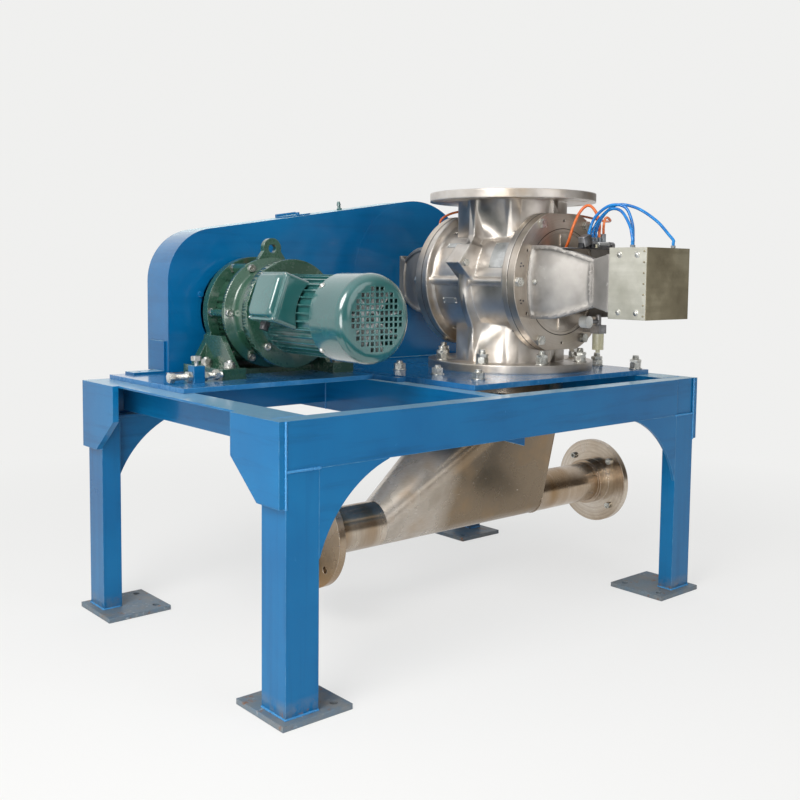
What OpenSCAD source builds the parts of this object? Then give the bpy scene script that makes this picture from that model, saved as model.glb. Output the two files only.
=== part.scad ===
// Rotary airlock valve on a welded channel frame, with a cycloidal geared motor and a chain drive.
// Millimetres, +Z up, X along the frame, Y from the sensor box side to the chain casing side.
// The drawing frame has its zero at the frame's front left corner on the floor; place() moves it
// to the middle of the whole machine's footprint.

/* [Base frame] */
// Length of the base frame along X
frame_l = 1416; // [1300:4:1600]
// Depth of the base frame along Y
frame_w = 916; // [860:4:1000]
// Height of the frame's top face above the floor
frame_h = 608; // [560:2:700]
// Side of each square foot plate
foot_side = 172; // [140:2:200]
// Thickness of each foot plate
foot_t = 12; // [8:1:20]
// Radius of the anchor holes in the feet
anchor_r = 9; // [6:0.5:12]
// Height of the front and back channel beams
beam_h = 100; // [80:5:120]
// Flange width of the front and back channel beams
beam_b = 48; // [40:1:60]
// Depth of the small channels used for rails and legs
chan_h = 80; // [70:5:100]
// Flange width of the small channels
chan_b = 43; // [36:1:50]
// Thickness of the vertical end plates at the four corners
end_t = 16; // [8:1:20]
// Radius of the arched gussets between beams and legs
arch_r = 276; // [240:4:300]
// Thickness of the arched gussets
arch_t = 8; // [5:1:12]

/* [Top plates] */
// Thickness of the plate under the geared motor
motor_plate_t = 12; // [8:1:20]
// Thickness of the plate under the valve
valve_plate_t = 14; // [8:1:20]
// Radius of the M20 bolts
bolt_r = 10; // [6:0.5:12]

/* [Valve] */
// Inside diameter of the inlet and the outlet
port_d = 300; // [250:10:350]
// Wall thickness of the necks
neck_wall = 8; // [5:0.5:12]
// Outside diameter of the inlet and outlet flanges
flange_d = 481; // [440:1:520]
// Thickness of the inlet and outlet flanges
flange_t = 24; // [16:1:30]
// Bolt circle of the inlet and outlet flanges
flange_pcd = 428; // [400:2:450]
// Radius of the bolt holes in those flanges
flange_hole_r = 11; // [8:0.5:13]
// Distance from the rotor axis to each flange face
port_reach = 252; // [230:2:280]
// Diameter of the round end flanges and covers
cover_d = 400; // [370:2:430]
// Thickness of each end cover
cover_t = 25; // [18:1:30]
// Length of the valve body between the cover joints
body_len = 344; // [300:4:400]

/* [Rotor] */
// Number of rotor vanes
vanes = 8; // [6:1:12]
// Thickness of each vane
vane_t = 8; // [5:1:12]
// Gap between the vane tips and the chamber wall
tip_gap = 0.5; // [0.3:0.1:2]
// Diameter of the rotor shaft
shaft_d = 50; // [40:1:60]
// Radial running clearance of the shafts in their bearings
run_gap = 0.05; // [0.02:0.01:0.1]

/* [Chain drive] */
// Chain pitch
pitch = 25.4; // [19.05:6.35:31.75]
// Teeth of the small sprocket on the reducer
teeth_small = 16; // [15:1:21]
// Teeth of the large sprocket on the rotor
teeth_large = 48; // [38:1:52]
// Thickness of the sprocket teeth
tooth_t = 14; // [8:1:16]
// Sheet thickness of the chain casing
guard_sheet = 4; // [2:0.5:6]
// Hatch lid length along X
hatch_l = 70; // [60:2:90]

/* [Geared motor] */
// Diameter of the motor's fan cowl
cowl_d = 220; // [200:2:240]
// Diameter of the motor body over its fins
motor_d = 210; // [190:2:220]
// Number of cooling fins around the motor
fins = 32; // [20:2:44]
// Diameter of the reducer's ring housing
ring_d = 296; // [270:2:310]
// Diameter of the reducer's output shaft
out_d = 55; // [45:1:65]

/* [Sensor box] */
// Side of the square box
box_side = 182; // [150:2:200]
// Depth of the box along Y
box_deep = 116; // [90:2:130]

/* [Conveying pipe] */
// Outside diameter of the conveying pipe
pipe_d = 120; // [100:1:140]
// Wall thickness of the conveying pipe
pipe_wall = 4; // [2:0.5:6]
// Outside diameter of the pipe flanges
pipe_flange_d = 262; // [220:2:290]
// Bolt circle of the pipe flanges
pipe_pcd = 200; // [180:2:240]
// Radius of the bolt holes in the pipe flanges
pipe_hole_r = 9; // [7:0.5:11]

/* [Hidden] */
$fn = 64;
eps = 0.01;
org_x = 761;
org_y = 424.5;
beam_t = 6;
rail_top = frame_h;
leg_top = frame_h - beam_h;
mp_z = frame_h + motor_plate_t;
vp_z = frame_h + valve_plate_t;
valve_x = 1108;
valve_y = 437;
axis_z = vp_z + port_reach;
top_z = axis_z + port_reach;
body_y0 = valve_y - body_len / 2;
body_y1 = valve_y + body_len / 2;
cover_y0 = body_y0 - cover_t;
cover_y1 = body_y1 + cover_t;
port_r = port_d / 2;
neck_r = port_r + neck_wall;
drum_r = port_r + 26;
throat_w = 110;
cover_flat = 189;
bolt_ring = 184;
cover_r = cover_d / 2;
shaft_r = shaft_d / 2;
yoke_y0 = 12;
bear_r = 45;
guard_y0 = 835;
guard_y1 = 953;
chain_y = 894;
drive_x = 440;
drive_z = mp_z + 165;
pipe_y = valve_y;
pipe_z = frame_h - 377;
pipe_r = pipe_d / 2;
shoe_x0 = 591;
shoe_x1 = 1199;

c_frame = [0.10, 0.36, 0.62];
c_steel = [0.72, 0.69, 0.64];
c_green = [0.16, 0.32, 0.26];
c_teal = [0.27, 0.50, 0.46];
c_zinc = [0.78, 0.78, 0.76];
c_box = [0.72, 0.71, 0.66];

module place() translate([-org_x, -org_y, 0]) children();

// A channel lying along +X: web on the -Y face, height along Z
module channel(l, b, h, t) {
    difference() {
        cube([l, b, h]);
        translate([-1, t, t]) cube([l + 2, b, h - 2 * t]);
    }
}

// The same section standing along +Z: web on the -Y face, width along X
module post(l, b, h, t) {
    difference() {
        cube([h, b, l]);
        translate([t, t, -1]) cube([h - 2 * t, b, l + 2]);
    }
}

// Round bar along +Y
module ybar(r, l) rotate([-90, 0, 0]) cylinder(r = r, h = l);

// Round bar along +X
module xbar(r, l) rotate([0, 90, 0]) cylinder(r = r, h = l);

// Hexagon along +Z, af across flats
module hexagon(af, h) cylinder(d = af / cos(30), h = h, $fn = 6);

// A stud through plates from z0 up to z1 with a washer and nut seated at z = seat
module stud_nut(r, z0, seat, tail) {
    translate([0, 0, z0]) cylinder(r = r, h = seat - z0 + 1.8 * r + tail, $fn = 24);
    translate([0, 0, seat]) difference() {
        union() {
            cylinder(r = 1.9 * r, h = 0.3 * r, $fn = 32);
            hexagon(3 * r, 1.9 * r);
        }
        translate([0, 0, -1]) cylinder(r = r, h = 4 * r, $fn = 24);
    }
}

// A hex head screw whose head sits on z = 0 and whose shank goes down
module hex_screw(r, shank, head_af) {
    hexagon(head_af, 1.3 * r);
    translate([0, 0, -shank]) cylinder(r = r, h = shank + eps, $fn = 24);
}

// Base frame ---------------------------------------------------------------

module main_beams() color(c_frame) place() {
    l = frame_l - 2 * end_t;
    step_x = 1322;
    translate([end_t, 0, leg_top]) channel(step_x - end_t, beam_b, beam_h, beam_t);
    translate([step_x, 3, leg_top])
        channel(frame_l - end_t - step_x, beam_b - 3, beam_h, beam_t);
    translate([end_t + l, frame_w, leg_top]) rotate([0, 0, 180]) channel(l, beam_b, beam_h, beam_t);
}

module side_rails() color(c_frame) place() {
    l = frame_w - 2 * beam_b;
    for (s = [0, 1]) translate([s * frame_l, beam_b, rail_top]) mirror([s, 0, 0]) {
        translate([end_t, 0, -5]) cube([chan_h, l, 5]);
        translate([end_t + chan_h - 5, 0, -chan_h]) cube([5, l, chan_h]);
    }
}

cross_x = 618;
bearer_y = 687;

module cross_beam() color(c_frame) place() {
    translate([cross_x, beam_b, leg_top]) mirror([1, 0, 0]) rotate([0, 0, 90])
        channel(frame_w - 2 * beam_b, beam_b, beam_h, beam_t);
    translate([end_t + chan_h, bearer_y, rail_top - chan_h])
        channel(cross_x - end_t - chan_h, chan_b, chan_h, 5);
}

leg_b = chan_b + 7;

module legs() color(c_frame) place() {
    h = leg_top - foot_t;
    translate([end_t, 0, foot_t]) post(h, chan_b, chan_h, 5);
    translate([end_t + chan_h, 2 * chan_b, foot_t]) rotate([0, 0, 180]) post(h, chan_b, chan_h, 5);
    translate([frame_l - end_t - chan_h, 0, foot_t]) post(h, chan_b, chan_h, 5);
    translate([end_t, frame_w, foot_t]) rotate([0, 0, -90]) post(h, leg_b, chan_h, 5);
    translate([frame_l - end_t, frame_w - chan_h, foot_t]) rotate([0, 0, 90])
        post(h, leg_b, chan_h, 5);
}

// Anchor holes sit at the two foot corners that the leg leaves free
module foot_plate(sx, sy) {
    difference() {
        translate([-foot_side / 2, -foot_side / 2, 0]) cube([foot_side, foot_side, foot_t]);
        translate([sx * 58, sy * 58, -1]) cylinder(r = anchor_r, h = foot_t + 2, $fn = 32);
        translate([sx * 58, -sy * 58, -1]) cylinder(r = anchor_r, h = foot_t + 2, $fn = 32);
    }
}

foot_in = foot_side / 2 - 3;
foot_iny = foot_side / 2 - 19;
module feet() color(c_frame) place() {
    translate([foot_in, foot_iny, 0]) foot_plate(1, 1);
    translate([frame_l - foot_in, foot_iny, 0]) foot_plate(-1, 1);
    translate([foot_in, frame_w - foot_iny, 0]) foot_plate(1, -1);
    translate([frame_l - foot_in, frame_w - foot_iny, 0]) foot_plate(-1, -1);
}

module end_plate_shape() polygon([[0, frame_h], [180, frame_h], [180, frame_h - 90],
    [80, frame_h - 172], [0, frame_h - 172]]);

module corner_plates() color(c_frame) place() {
    for (x = [0, frame_l - end_t]) translate([x, 0, 0]) {
        rotate([90, 0, 90]) linear_extrude(end_t) end_plate_shape();
        translate([0, frame_w, 0]) mirror([0, 1, 0]) rotate([90, 0, 90])
            linear_extrude(end_t) end_plate_shape();
    }
}

module arch_shape() difference() {
    translate([0, -arch_r * 0.667]) square([arch_r * 0.66, arch_r * 0.667]);
    translate([arch_r * 0.9642, -arch_r * 0.9577]) circle(r = arch_r, $fn = 128);
}

module arch_gussets() color(c_frame) place() {
    for (y = [arch_t, frame_w - beam_b + arch_t]) translate([0, y, 0]) {
        left = y < frame_w / 2 ? end_t + chan_h : end_t + leg_b;
        translate([left, 0, leg_top]) rotate([90, 0, 0]) linear_extrude(arch_t) arch_shape();
        translate([frame_l - left, 0, leg_top]) mirror([1, 0, 0]) rotate([90, 0, 0])
            linear_extrude(arch_t) arch_shape();
    }
    translate([0, beam_b + arch_t, 0]) rotate([90, 0, 0]) linear_extrude(arch_t)
        polygon([[672, leg_top + 4], [751, leg_top + 4], [751, leg_top - 32], [682, leg_top - 13]]);
}

// Top plates ---------------------------------------------------------------

mp_x0 = 68;
mp_x1 = 667.5;
vp_x0 = 668;
vp_x1 = 1380;
hold_x = [268, 612];
hold_y = [626, 745];
vp_bolts = [[772, 232], [772, 388], [772, 545], [1358, 170], [1350, 305]];

module motor_plate() color(c_frame) place() {
    difference() {
        translate([mp_x0, 500, frame_h]) cube([mp_x1 - mp_x0, 400, motor_plate_t]);
        for (x = hold_x, y = hold_y)
            translate([x, y, frame_h - 1]) cylinder(r = 8, h = motor_plate_t + 2, $fn = 24);
    }
    translate([638, 398, frame_h]) cube([29.5, 101.5, motor_plate_t]);
}

module valve_plate() color(c_frame) place() difference() {
    translate([vp_x0, 140, frame_h]) cube([vp_x1 - vp_x0, 760, valve_plate_t]);
    translate([valve_x, valve_y, frame_h - 1]) cylinder(r = port_r, h = valve_plate_t + 2);
    for (b = vp_bolts)
        translate([b[0], b[1], frame_h - 1]) cylinder(r = bolt_r + 0.5, h = valve_plate_t + 2, $fn = 24);
    for (i = [0:7]) translate([valve_x, valve_y, 0]) rotate([0, 0, 22.5 + 45 * i])
        translate([flange_pcd / 2, 0, frame_h - 1]) cylinder(r = bolt_r, h = valve_plate_t + 2, $fn = 24);
}

module plate_bolts() color(c_zinc) place() {
    for (b = vp_bolts) translate([b[0], b[1], 0]) {
        stud_nut(bolt_r, frame_h, vp_z, b[0] < 1000 ? 8 : 22);
        if (b[0] < 1000) translate([0, 0, frame_h - 12]) hexagon(30, 12);
    }
}

// Valve --------------------------------------------------------------------

module flange_ring(z) {
    translate([0, 0, z]) difference() {
        cylinder(r = flange_d / 2, h = flange_t, $fn = 96);
        for (i = [0:7]) rotate([0, 0, 22.5 + 45 * i]) translate([flange_pcd / 2, 0, -1])
            cylinder(r = flange_hole_r, h = flange_t + 2, $fn = 24);
    }
}

// Rib in the middle plane on one side, seen along Y; u is the distance out from the rotor axis
module side_rib() {
    for (s = [1, -1]) rotate([90, 0, 0]) translate([0, 0, -11]) linear_extrude(22)
        polygon([[100, s * 60], [100, s * (port_reach - 20)], [164, s * (port_reach - 20)],
            [166, s * 130], [188, s * 84], [205, s * 30], [205, 0], [100, 0]]);
}

// Round neck whose two sides close in towards the rotor; r outside or inside radius, w half width
module neck(r, w, z1) intersection() {
    translate([0, 0, -z1]) cylinder(r = r, h = 2 * z1, $fn = 96);
    rotate([90, 0, 0]) translate([0, 0, -200]) linear_extrude(400)
        polygon([[w, 0], [w, 120], [r + 1, 202], [r + 1, 300], [-r - 1, 300], [-r - 1, 202],
            [-w, 120], [-w, -120], [-r - 1, -202], [-r - 1, -300], [r + 1, -300],
            [r + 1, -202], [w, -120]]);
}

// Round end flange with flats above and below
module flat_round(r, h) intersection() {
    ybar(r, h);
    translate([-r - 1, -1, -cover_flat]) cube([2 * r + 2, h + 2, 2 * cover_flat]);
}

// Wedge-shaped lug with a bolt boss on the upper quarter of the drum
module side_lug() rotate([90, 0, 0]) translate([0, 0, -26]) linear_extrude(52)
    polygon([[110, 96], [196, 104], [240, 52], [190, 6], [150, 6], [120, 60]]);

module valve_body() color(c_steel) place() translate([valve_x, 0, axis_z]) difference() {
    union() {
        translate([0, body_y0, 0]) ybar(drum_r, body_len);
        for (y = [body_y0, body_y1 - 22]) translate([0, y, 0]) flat_round(cover_r, 22);
        for (y = [body_y0 + 22, body_y1 - 30]) translate([0, y, 0]) ybar(drum_r + 5, 8);
        translate([0, valve_y, 0]) neck(neck_r, throat_w + 12, port_reach);
        translate([0, valve_y, 0]) {
            flange_ring(port_reach - flange_t);
            flange_ring(-port_reach);
            side_rib();
            mirror([1, 0, 0]) side_rib();
            mirror([1, 0, 0]) side_lug();
            rotate([0, 0, 90]) rotate([90, 0, 0]) translate([0, 0, -11]) linear_extrude(22)
                for (s = [1, -1], t = [1, -1]) polygon([[s * 140, t * 150],
                    [s * 140, t * (port_reach - 20)], [s * 166, t * (port_reach - 20)], [s * 166, t * 150]]);
        }
        for (s = [1, -1]) translate([s * (drum_r - 3), body_y0 + 20, 0]) ybar(13, body_len - 40);
    }
    translate([0, body_y0 - 1, 0]) ybar(port_r, body_len + 2);
    for (s = [1, -1]) translate([0, valve_y, s * 4]) intersection() {
        neck(port_r, throat_w, 300);
        translate([-200, -200, s > 0 ? 132 : -332]) cube([400, 400, 200]);
    }
    translate([-throat_w, valve_y - 130, -140]) cube([2 * throat_w, 260, 280]);
    translate([-215, valve_y - 40, 52]) ybar(6, 80);
}

// Cover in its own frame: inner face at y = 0, outer face at y = -cover_t
module cover_one() difference() {
    union() {
        difference() {
            translate([0, -cover_t, 0]) flat_round(cover_r, cover_t);
            translate([0, -cover_t - 1, 0]) ybar(140, 4);
        }
        translate([0, -cover_t, 0]) ybar(70, cover_t);
        for (s = [1, -1]) translate([-13, -cover_t, s > 0 ? 100 : -132]) cube([26, 4, 32]);
    }
    translate([0, -cover_t - 1, 0]) ybar(shaft_r + 0.6, cover_t + 2);
    for (i = [0:5]) rotate([0, -60 * i, 0]) translate([bolt_ring, -cover_t - 1, 0]) ybar(8.2, cover_t + 2);
    for (i = [0:5]) rotate([0, -30 - 60 * i, 0]) translate([170, -cover_t - 1, 0]) ybar(4, 12);
}

module both_ends() {
    translate([valve_x, body_y0, axis_z]) children();
    translate([valve_x, body_y1, axis_z]) mirror([0, 1, 0]) children();
}

module end_covers() color(c_steel) place() both_ends() cover_one();

module lug_bolt(x) translate([x, valve_y, axis_z + 52]) {
    translate([0, -26, 0]) rotate([90, 0, 0]) hexagon(19, 8);
    translate([0, -26 - eps, 0]) ybar(5.9, 60);
    translate([0, 26, 0]) rotate([-90, 0, 0]) difference() {
        hexagon(19, 10);
        translate([0, 0, -1]) cylinder(r = 5.9, h = 12, $fn = 24);
    }
}

// Button-headed plug on the side wall of a yoke
module wall_plug(s) translate([s * 145.05, -cover_t - 25, 0]) rotate([0, s * 90, 0]) {
    cylinder(r = 7, h = 3, $fn = 32);
    translate([0, 0, 3]) cylinder(r1 = 5.5, r2 = 3, h = 3, $fn = 32);
}

module cover_bolts() color(c_zinc) place() {
    both_ends() {
        for (i = [0:5]) rotate([0, -60 * i, 0]) translate([bolt_ring, -cover_t, 0]) rotate([90, 0, 0])
            hex_screw(8, cover_t, 24);
        wall_plug(1);
        wall_plug(-1);
    }
    lug_bolt(valve_x - 215);
}

module outlet_studs() color(c_zinc) place() translate([valve_x, valve_y, 0])
    for (i = [0:7]) rotate([0, 0, 22.5 + 45 * i]) translate([flange_pcd / 2, 0, 0])
        stud_nut(bolt_r, frame_h, vp_z + flange_t, 22);

module shaft_seals() color([0.25, 0.25, 0.26]) place() both_ends() difference() {
    translate([0, -cover_t - 16, 0]) ybar(42, 16);
    translate([0, -cover_t - 17, 0]) ybar(shaft_r + run_gap, 18);
}

// Yoke wall profile: [distance out of the end cover's mid plane, half width], curve by hand
function wall_w(v) = v < 60 ? 145 - 4 * pow((v - 25) / 35, 2)
    : v < 178 ? 141 - 50 * pow((v - 60) / 118, 1.4) : 91;
function half_h(v) = v < 60 ? 99 : v < 178 ? 99 - 37 * pow((v - 60) / 118, 1.3) : 62;
vs = [0, 25, 50, 75, 100, 125, 150, 178];
neck_h = 74.5;

module wall_ring(t_in, t_out) rotate([-90, 0, 0]) rotate_extrude($fn = 180)
    polygon(concat([for (v = vs) [146 + wall_w(v) + t_out, -v]],
        [for (i = [len(vs) - 1:-1:0]) [146 + wall_w(vs[i]) - t_in, -vs[i]]]));

module side_view(dz) rotate([90, 0, 90]) translate([0, 0, -200]) linear_extrude(140)
    polygon(concat([for (v = vs) [-v, half_h(v) + dz]],
        [for (i = [len(vs) - 1:-1:0]) [-vs[i], -half_h(vs[i]) - dz]]));

module wall_left() {
    intersection() {
        translate([146, 0, 0]) wall_ring(9, 0);
        side_view(0);
    }
    difference() {
        intersection() {
            translate([146, 0, 0]) wall_ring(9, 6);
            side_view(0);
        }
        intersection() {
            side_view(-11);
            translate([-200, -169, -200]) cube([400, 160, 400]);
        }
    }
}

// Yoke in the cover's outer frame: y = 0 on the cover face, the neck towards -Y
module yoke_one(reach) {
    difference() {
        union() {
            wall_left();
            mirror([1, 0, 0]) wall_left();
            translate([0, -178, 0]) rotate([90, 0, 0]) linear_extrude(14)
                square([182, 124], center = true);
            translate([-91, -reach, 0]) rotate([90, 0, 90]) linear_extrude(8)
                polygon([[0, neck_h], [reach - 178, 62], [reach - 178, -62], [0, -neck_h]]);
            translate([83, -reach, 0]) rotate([90, 0, 90]) linear_extrude(8)
                polygon([[0, neck_h], [reach - 178, 62], [reach - 178, -62], [0, -neck_h]]);
            translate([-91, -reach, -neck_h]) cube([182, 9, 2 * neck_h]);
            translate([0, -192, 0]) ybar(bear_r + 14, 30);
        }
        translate([0, -reach - 1, 0]) ybar(bear_r, reach + 2);
    }
}

front_reach = cover_y0 - yoke_y0;
back_reach = guard_y0 - cover_y1;

module bearing_yokes() color(c_steel) place() {
    translate([valve_x, cover_y0, axis_z]) yoke_one(front_reach);
    translate([valve_x, cover_y1, axis_z]) mirror([0, 1, 0]) yoke_one(back_reach);
}

module bearings() color([0.45, 0.46, 0.48]) place() both_ends() difference() {
    translate([0, -cover_t - 192, 0]) ybar(bear_r, 24);
    translate([0, -cover_t - 193, 0]) ybar(shaft_r + run_gap, 26);
}

// Rotor --------------------------------------------------------------------

rotor_len = body_len - 2;
module rotor() color([0.62, 0.61, 0.58]) place() translate([valve_x, valve_y - rotor_len / 2, axis_z])
    difference() {
        union() {
            ybar(62, rotor_len);
            for (i = [0:vanes - 1]) rotate([0, 360 / vanes * i + 11.25, 0])
                translate([-vane_t / 2, 0, 50]) cube([vane_t, rotor_len, port_r - tip_gap - 50.2]);
        }
        translate([0, -1, 0]) ybar(shaft_r, rotor_len + 2);
    }

shaft_y0 = -40;
shaft_y1 = 930;
module rotor_shaft() color([0.6, 0.6, 0.6]) place() translate([valve_x, shaft_y0, axis_z])
    ybar(shaft_r, shaft_y1 - shaft_y0);

module speed_disc() color([0.55, 0.56, 0.58]) place() translate([valve_x, -30, axis_z]) difference() {
    union() {
        ybar(40, 8);
        for (a = [0, 180]) rotate([0, a, 0]) translate([-8, 0, 0]) cube([16, 8, 62]);
    }
    translate([0, -1, 0]) ybar(shaft_r, 10);
}

function pitch_r(n) = pitch / 2 / sin(180 / n);

// Sprocket about Y with the tooth gaps facing angle a0, bored for its shaft
module sprocket(n, bore, hub_r, hub_l) {
    r = pitch_r(n);
    difference() {
        union() {
            translate([0, -tooth_t / 2, 0]) ybar(r + 6, tooth_t);
            translate([0, -hub_l, 0]) ybar(hub_r, hub_l + tooth_t / 2);
        }
        for (i = [0:n - 1]) rotate([0, 360 / n * i, 0]) translate([r, -tooth_t, 0])
            rotate([-90, 0, 0]) cylinder(r = 8.4, h = 2 * tooth_t, $fn = 24);
        translate([0, -hub_l - 1, 0]) ybar(bore, hub_l + tooth_t + 2);
    }
}

module driven_sprocket() color([0.42, 0.43, 0.45]) place() translate([valve_x, chain_y, axis_z])
    difference() {
        sprocket(teeth_large, shaft_r, 45, 40);
        for (i = [0:5]) rotate([0, 60 * i, 0]) translate([120, -tooth_t, 0]) ybar(38, 2 * tooth_t);
    }

module drive_sprocket() color([0.42, 0.43, 0.45]) place() translate([drive_x, chain_y, drive_z])
    sprocket(teeth_small, out_d / 2, 48, 34);

// Chain: two rows of side plates as closed loops, and rollers on the free spans
r_l = pitch_r(teeth_large);
r_s = pitch_r(teeth_small);
c_dx = valve_x - drive_x;
c_dz = axis_z - drive_z;
c_dist = sqrt(c_dx * c_dx + c_dz * c_dz);
c_ang = atan2(c_dz, c_dx);
c_lean = asin((r_l - r_s) / c_dist);

// Outline round both sprockets, grown by g from the pitch line
module loop_shape(g) {
    rs = r_s + g;
    rl = r_l + g;
    circle(r = rs, $fn = 64);
    translate([c_dist, 0]) circle(r = rl, $fn = 96);
    polygon([[-rs * sin(c_lean), rs * cos(c_lean)],
        [c_dist - rl * sin(c_lean), rl * cos(c_lean)],
        [c_dist - rl * sin(c_lean), -rl * cos(c_lean)],
        [-rs * sin(c_lean), -rs * cos(c_lean)]]);
}

span = sqrt(c_dist * c_dist - pow(r_l - r_s, 2));
span_n = floor(span / pitch) - 4;
module chain() color([0.30, 0.30, 0.32]) place() translate([drive_x, chain_y, drive_z])
    rotate([0, -c_ang, 0]) rotate([90, 0, 0]) {
        for (z = [8, -12]) translate([0, 0, z]) linear_extrude(4) difference() {
            loop_shape(10);
            loop_shape(-10);
        }
        for (s = [1, -1], i = [2:span_n]) {
            t = (i + 0.5) * pitch / span;
            a = s * (90 + c_lean);
            translate([c_dist * t + (r_s + (r_l - r_s) * t) * cos(a),
                (r_s + (r_l - r_s) * t) * sin(a), -8]) cylinder(r = 7.9, h = 16, $fn = 20);
        }
    }

// Chain casing -------------------------------------------------------------

g_arc_x = 351;
g_arc_z = mp_z + 246;
g_arc_r = 146;
g_big_r = 250;
g_big_x = 1083;
g_bot = vp_z;

// Casing outline in the X-Z plane, grown by g
module guard_shape(g) {
    tilt = 90 + atan((axis_z - g_arc_z) / (g_big_x - g_arc_x))
        + asin((g_big_r - g_arc_r) / norm([g_big_x - g_arc_x, axis_z - g_arc_z]));
    translate([g_arc_x, g_arc_z]) circle(r = g_arc_r + g, $fn = 96);
    intersection() {
        translate([g_big_x, axis_z]) circle(r = g_big_r + g, $fn = 128);
        translate([g_big_x - 300, g_bot - g]) square([600, 600]);
    }
    polygon([[g_arc_x - g_arc_r - g, g_bot - g], [g_arc_x - g_arc_r - g, g_arc_z],
        [g_arc_x + (g_arc_r + g) * cos(tilt), g_arc_z + (g_arc_r + g) * sin(tilt)],
        [g_big_x + (g_big_r + g) * cos(tilt), axis_z + (g_big_r + g) * sin(tilt)],
        [g_big_x + g_big_r * 0.97 + g, axis_z - g_big_r * 0.24],
        [g_big_x + g_big_r * 0.97 + g, g_bot - g]]);
}

module guard_shell() color(c_frame) place() translate([0, guard_y1 - 3, 0]) rotate([90, 0, 0])
    difference() {
        linear_extrude(guard_y1 - guard_y0 - 3) guard_shape(0);
        translate([0, 0, -1]) linear_extrude(guard_y1 - guard_y0 - guard_sheet - 2)
            guard_shape(-guard_sheet);
        translate([drive_x, drive_z, 0]) cylinder(r = 137, h = 200);
        translate([valve_x, axis_z, 0]) cylinder(r = 60, h = 200);
        translate([612, mp_z + 400, 59 - 25 - 3]) cube([hatch_l, 100, 50]);
    }

module guard_back() color(c_frame) place() translate([0, guard_y1, 0]) rotate([90, 0, 0])
    linear_extrude(3) guard_shape(0);

slope = 8.8;
hatch_y = chain_y;
// Point on the casing's sloping top at the given X
module on_top(x) translate([x, hatch_y, mp_z + 389.9 + (x - 325.6) * tan(slope)])
    rotate([0, -slope, 0]) children();

module guard_hatch() color(c_frame) place() on_top(612) difference() {
    union() {
        translate([-5, -34, 0]) cube([hatch_l + 10, 64.5, 4]);
        translate([14.5, 30, 1]) cube([hatch_l - 29, 6, 3]);
        translate([14.5, 36, 6]) xbar(5, hatch_l - 29);
        translate([hatch_l / 2, -26, 4]) cylinder(r = 6, h = 7, $fn = 24);
    }
    translate([-10, 36, 6]) xbar(2.05, hatch_l + 20);
}

module hatch_hinge() color(c_frame) place() on_top(612) {
    translate([0, 36, 6]) xbar(2, hatch_l);
    for (x = [0, hatch_l - 14]) translate([x, 0, 0]) {
        translate([0, 31, 0.2]) cube([14, 10, 5.8]);
        translate([0, 36, 6]) xbar(5, 14);
    }
}

module guard_breather() color([0.25, 0.42, 0.40]) place() on_top(820) {
    translate([0, 0, 0.2]) cylinder(r = 9, h = 5, $fn = 6);
    cylinder(r = 5, h = 14, $fn = 24);
    translate([0, 0, 14]) cylinder(r1 = 7, r2 = 4, h = 12, $fn = 24);
}

module guard_brackets() color(c_frame) place() {
    difference() {
        translate([112, 850, mp_z]) cube([93, 50, 6]);
        translate([140, 875, mp_z - 1]) cylinder(r = 6, h = 8, $fn = 24);
    }
    translate([199, 850, mp_z + 6]) cube([6, 83, 80]);
    difference() {
        translate([690, 815, vp_z]) cube([630, 20, 5]);
        for (x = [760, 900, 1260]) translate([x, 825, vp_z - 1]) cylinder(r = 4, h = 8, $fn = 24);
    }
}

module guard_screws() color(c_frame) place() translate([drive_x, guard_y0, drive_z])
    for (i = [0:3]) rotate([0, 18.5 - 90 * i, 0]) translate([-146, 0, 0]) rotate([90, 0, 0]) {
        cylinder(r = 8, h = 1.5, $fn = 32);
        translate([0, 0, 1.5]) hexagon(13, 6);
    }

// Geared motor -------------------------------------------------------------

module at_drive(y) translate([drive_x, y, drive_z]) children();
pad_t = 28;
case_r = 124;
pad_z = mp_z - drive_z;

module reducer_base() color(c_green) place() difference() {
    union() {
        at_drive(776) ybar(ring_d / 2 + 2, 24);
        at_drive(800) ybar(90, 44);
        at_drive(0) {
            for (s = [-1, 1]) {
                translate([s > 0 ? 140 : -209, 600, pad_z]) cube([69, 200, pad_t]);
                translate([s > 0 ? 140 : -154, 0, 0]) rotate([90, 0, 90]) linear_extrude(14)
                    polygon([[610, pad_z + 5], [800, pad_z + 5], [788, -60], [702, -60]]);
            }
            translate([-150, 706, pad_z]) cube([300, 94, 14]);
            translate([0, 800, 0]) rotate([90, 0, 0]) linear_extrude(24)
                polygon([[-200, pad_z + 5], [200, pad_z + 5], [130, -40], [-130, -40]]);
        }
    }
    at_drive(700) ybar(out_d / 2 + run_gap, 200);
    for (x = hold_x, y = hold_y)
        translate([x, y, mp_z - 1]) cylinder(r = 9, h = pad_t + 2, $fn = 24);
}

module reducer_case() color(c_green) place() {
    at_drive(705) ybar(case_r, 71);
    at_drive(690) ybar(ring_d / 2, 15);
    at_drive(615) rotate([-90, 0, 0]) cylinder(r1 = 118, r2 = 126, h = 75, $fn = 96);
    at_drive(591) ybar(143, 24);
    for (i = [0:5]) at_drive(705) rotate([0, 60 * i, 0]) difference() {
        union() {
            translate([137, 0, 0]) ybar(12, 57);
            translate([110, 0, -12]) cube([27, 57, 24]);
        }
        translate([137, -1, 0]) ybar(7, 59);
    }
}

module lifting_lug() color(c_green) place() at_drive(690) difference() {
    union() {
        translate([0, 0, 172]) ybar(28, 15);
        translate([0, 15, 0]) rotate([90, 0, 0]) linear_extrude(15)
            polygon([[-27, 165], [27, 165], [44, 142], [-44, 142]]);
    }
    translate([0, -1, 172]) ybar(12, 20);
    translate([0, -1, 0]) ybar(ring_d / 2, 20);
}

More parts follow.
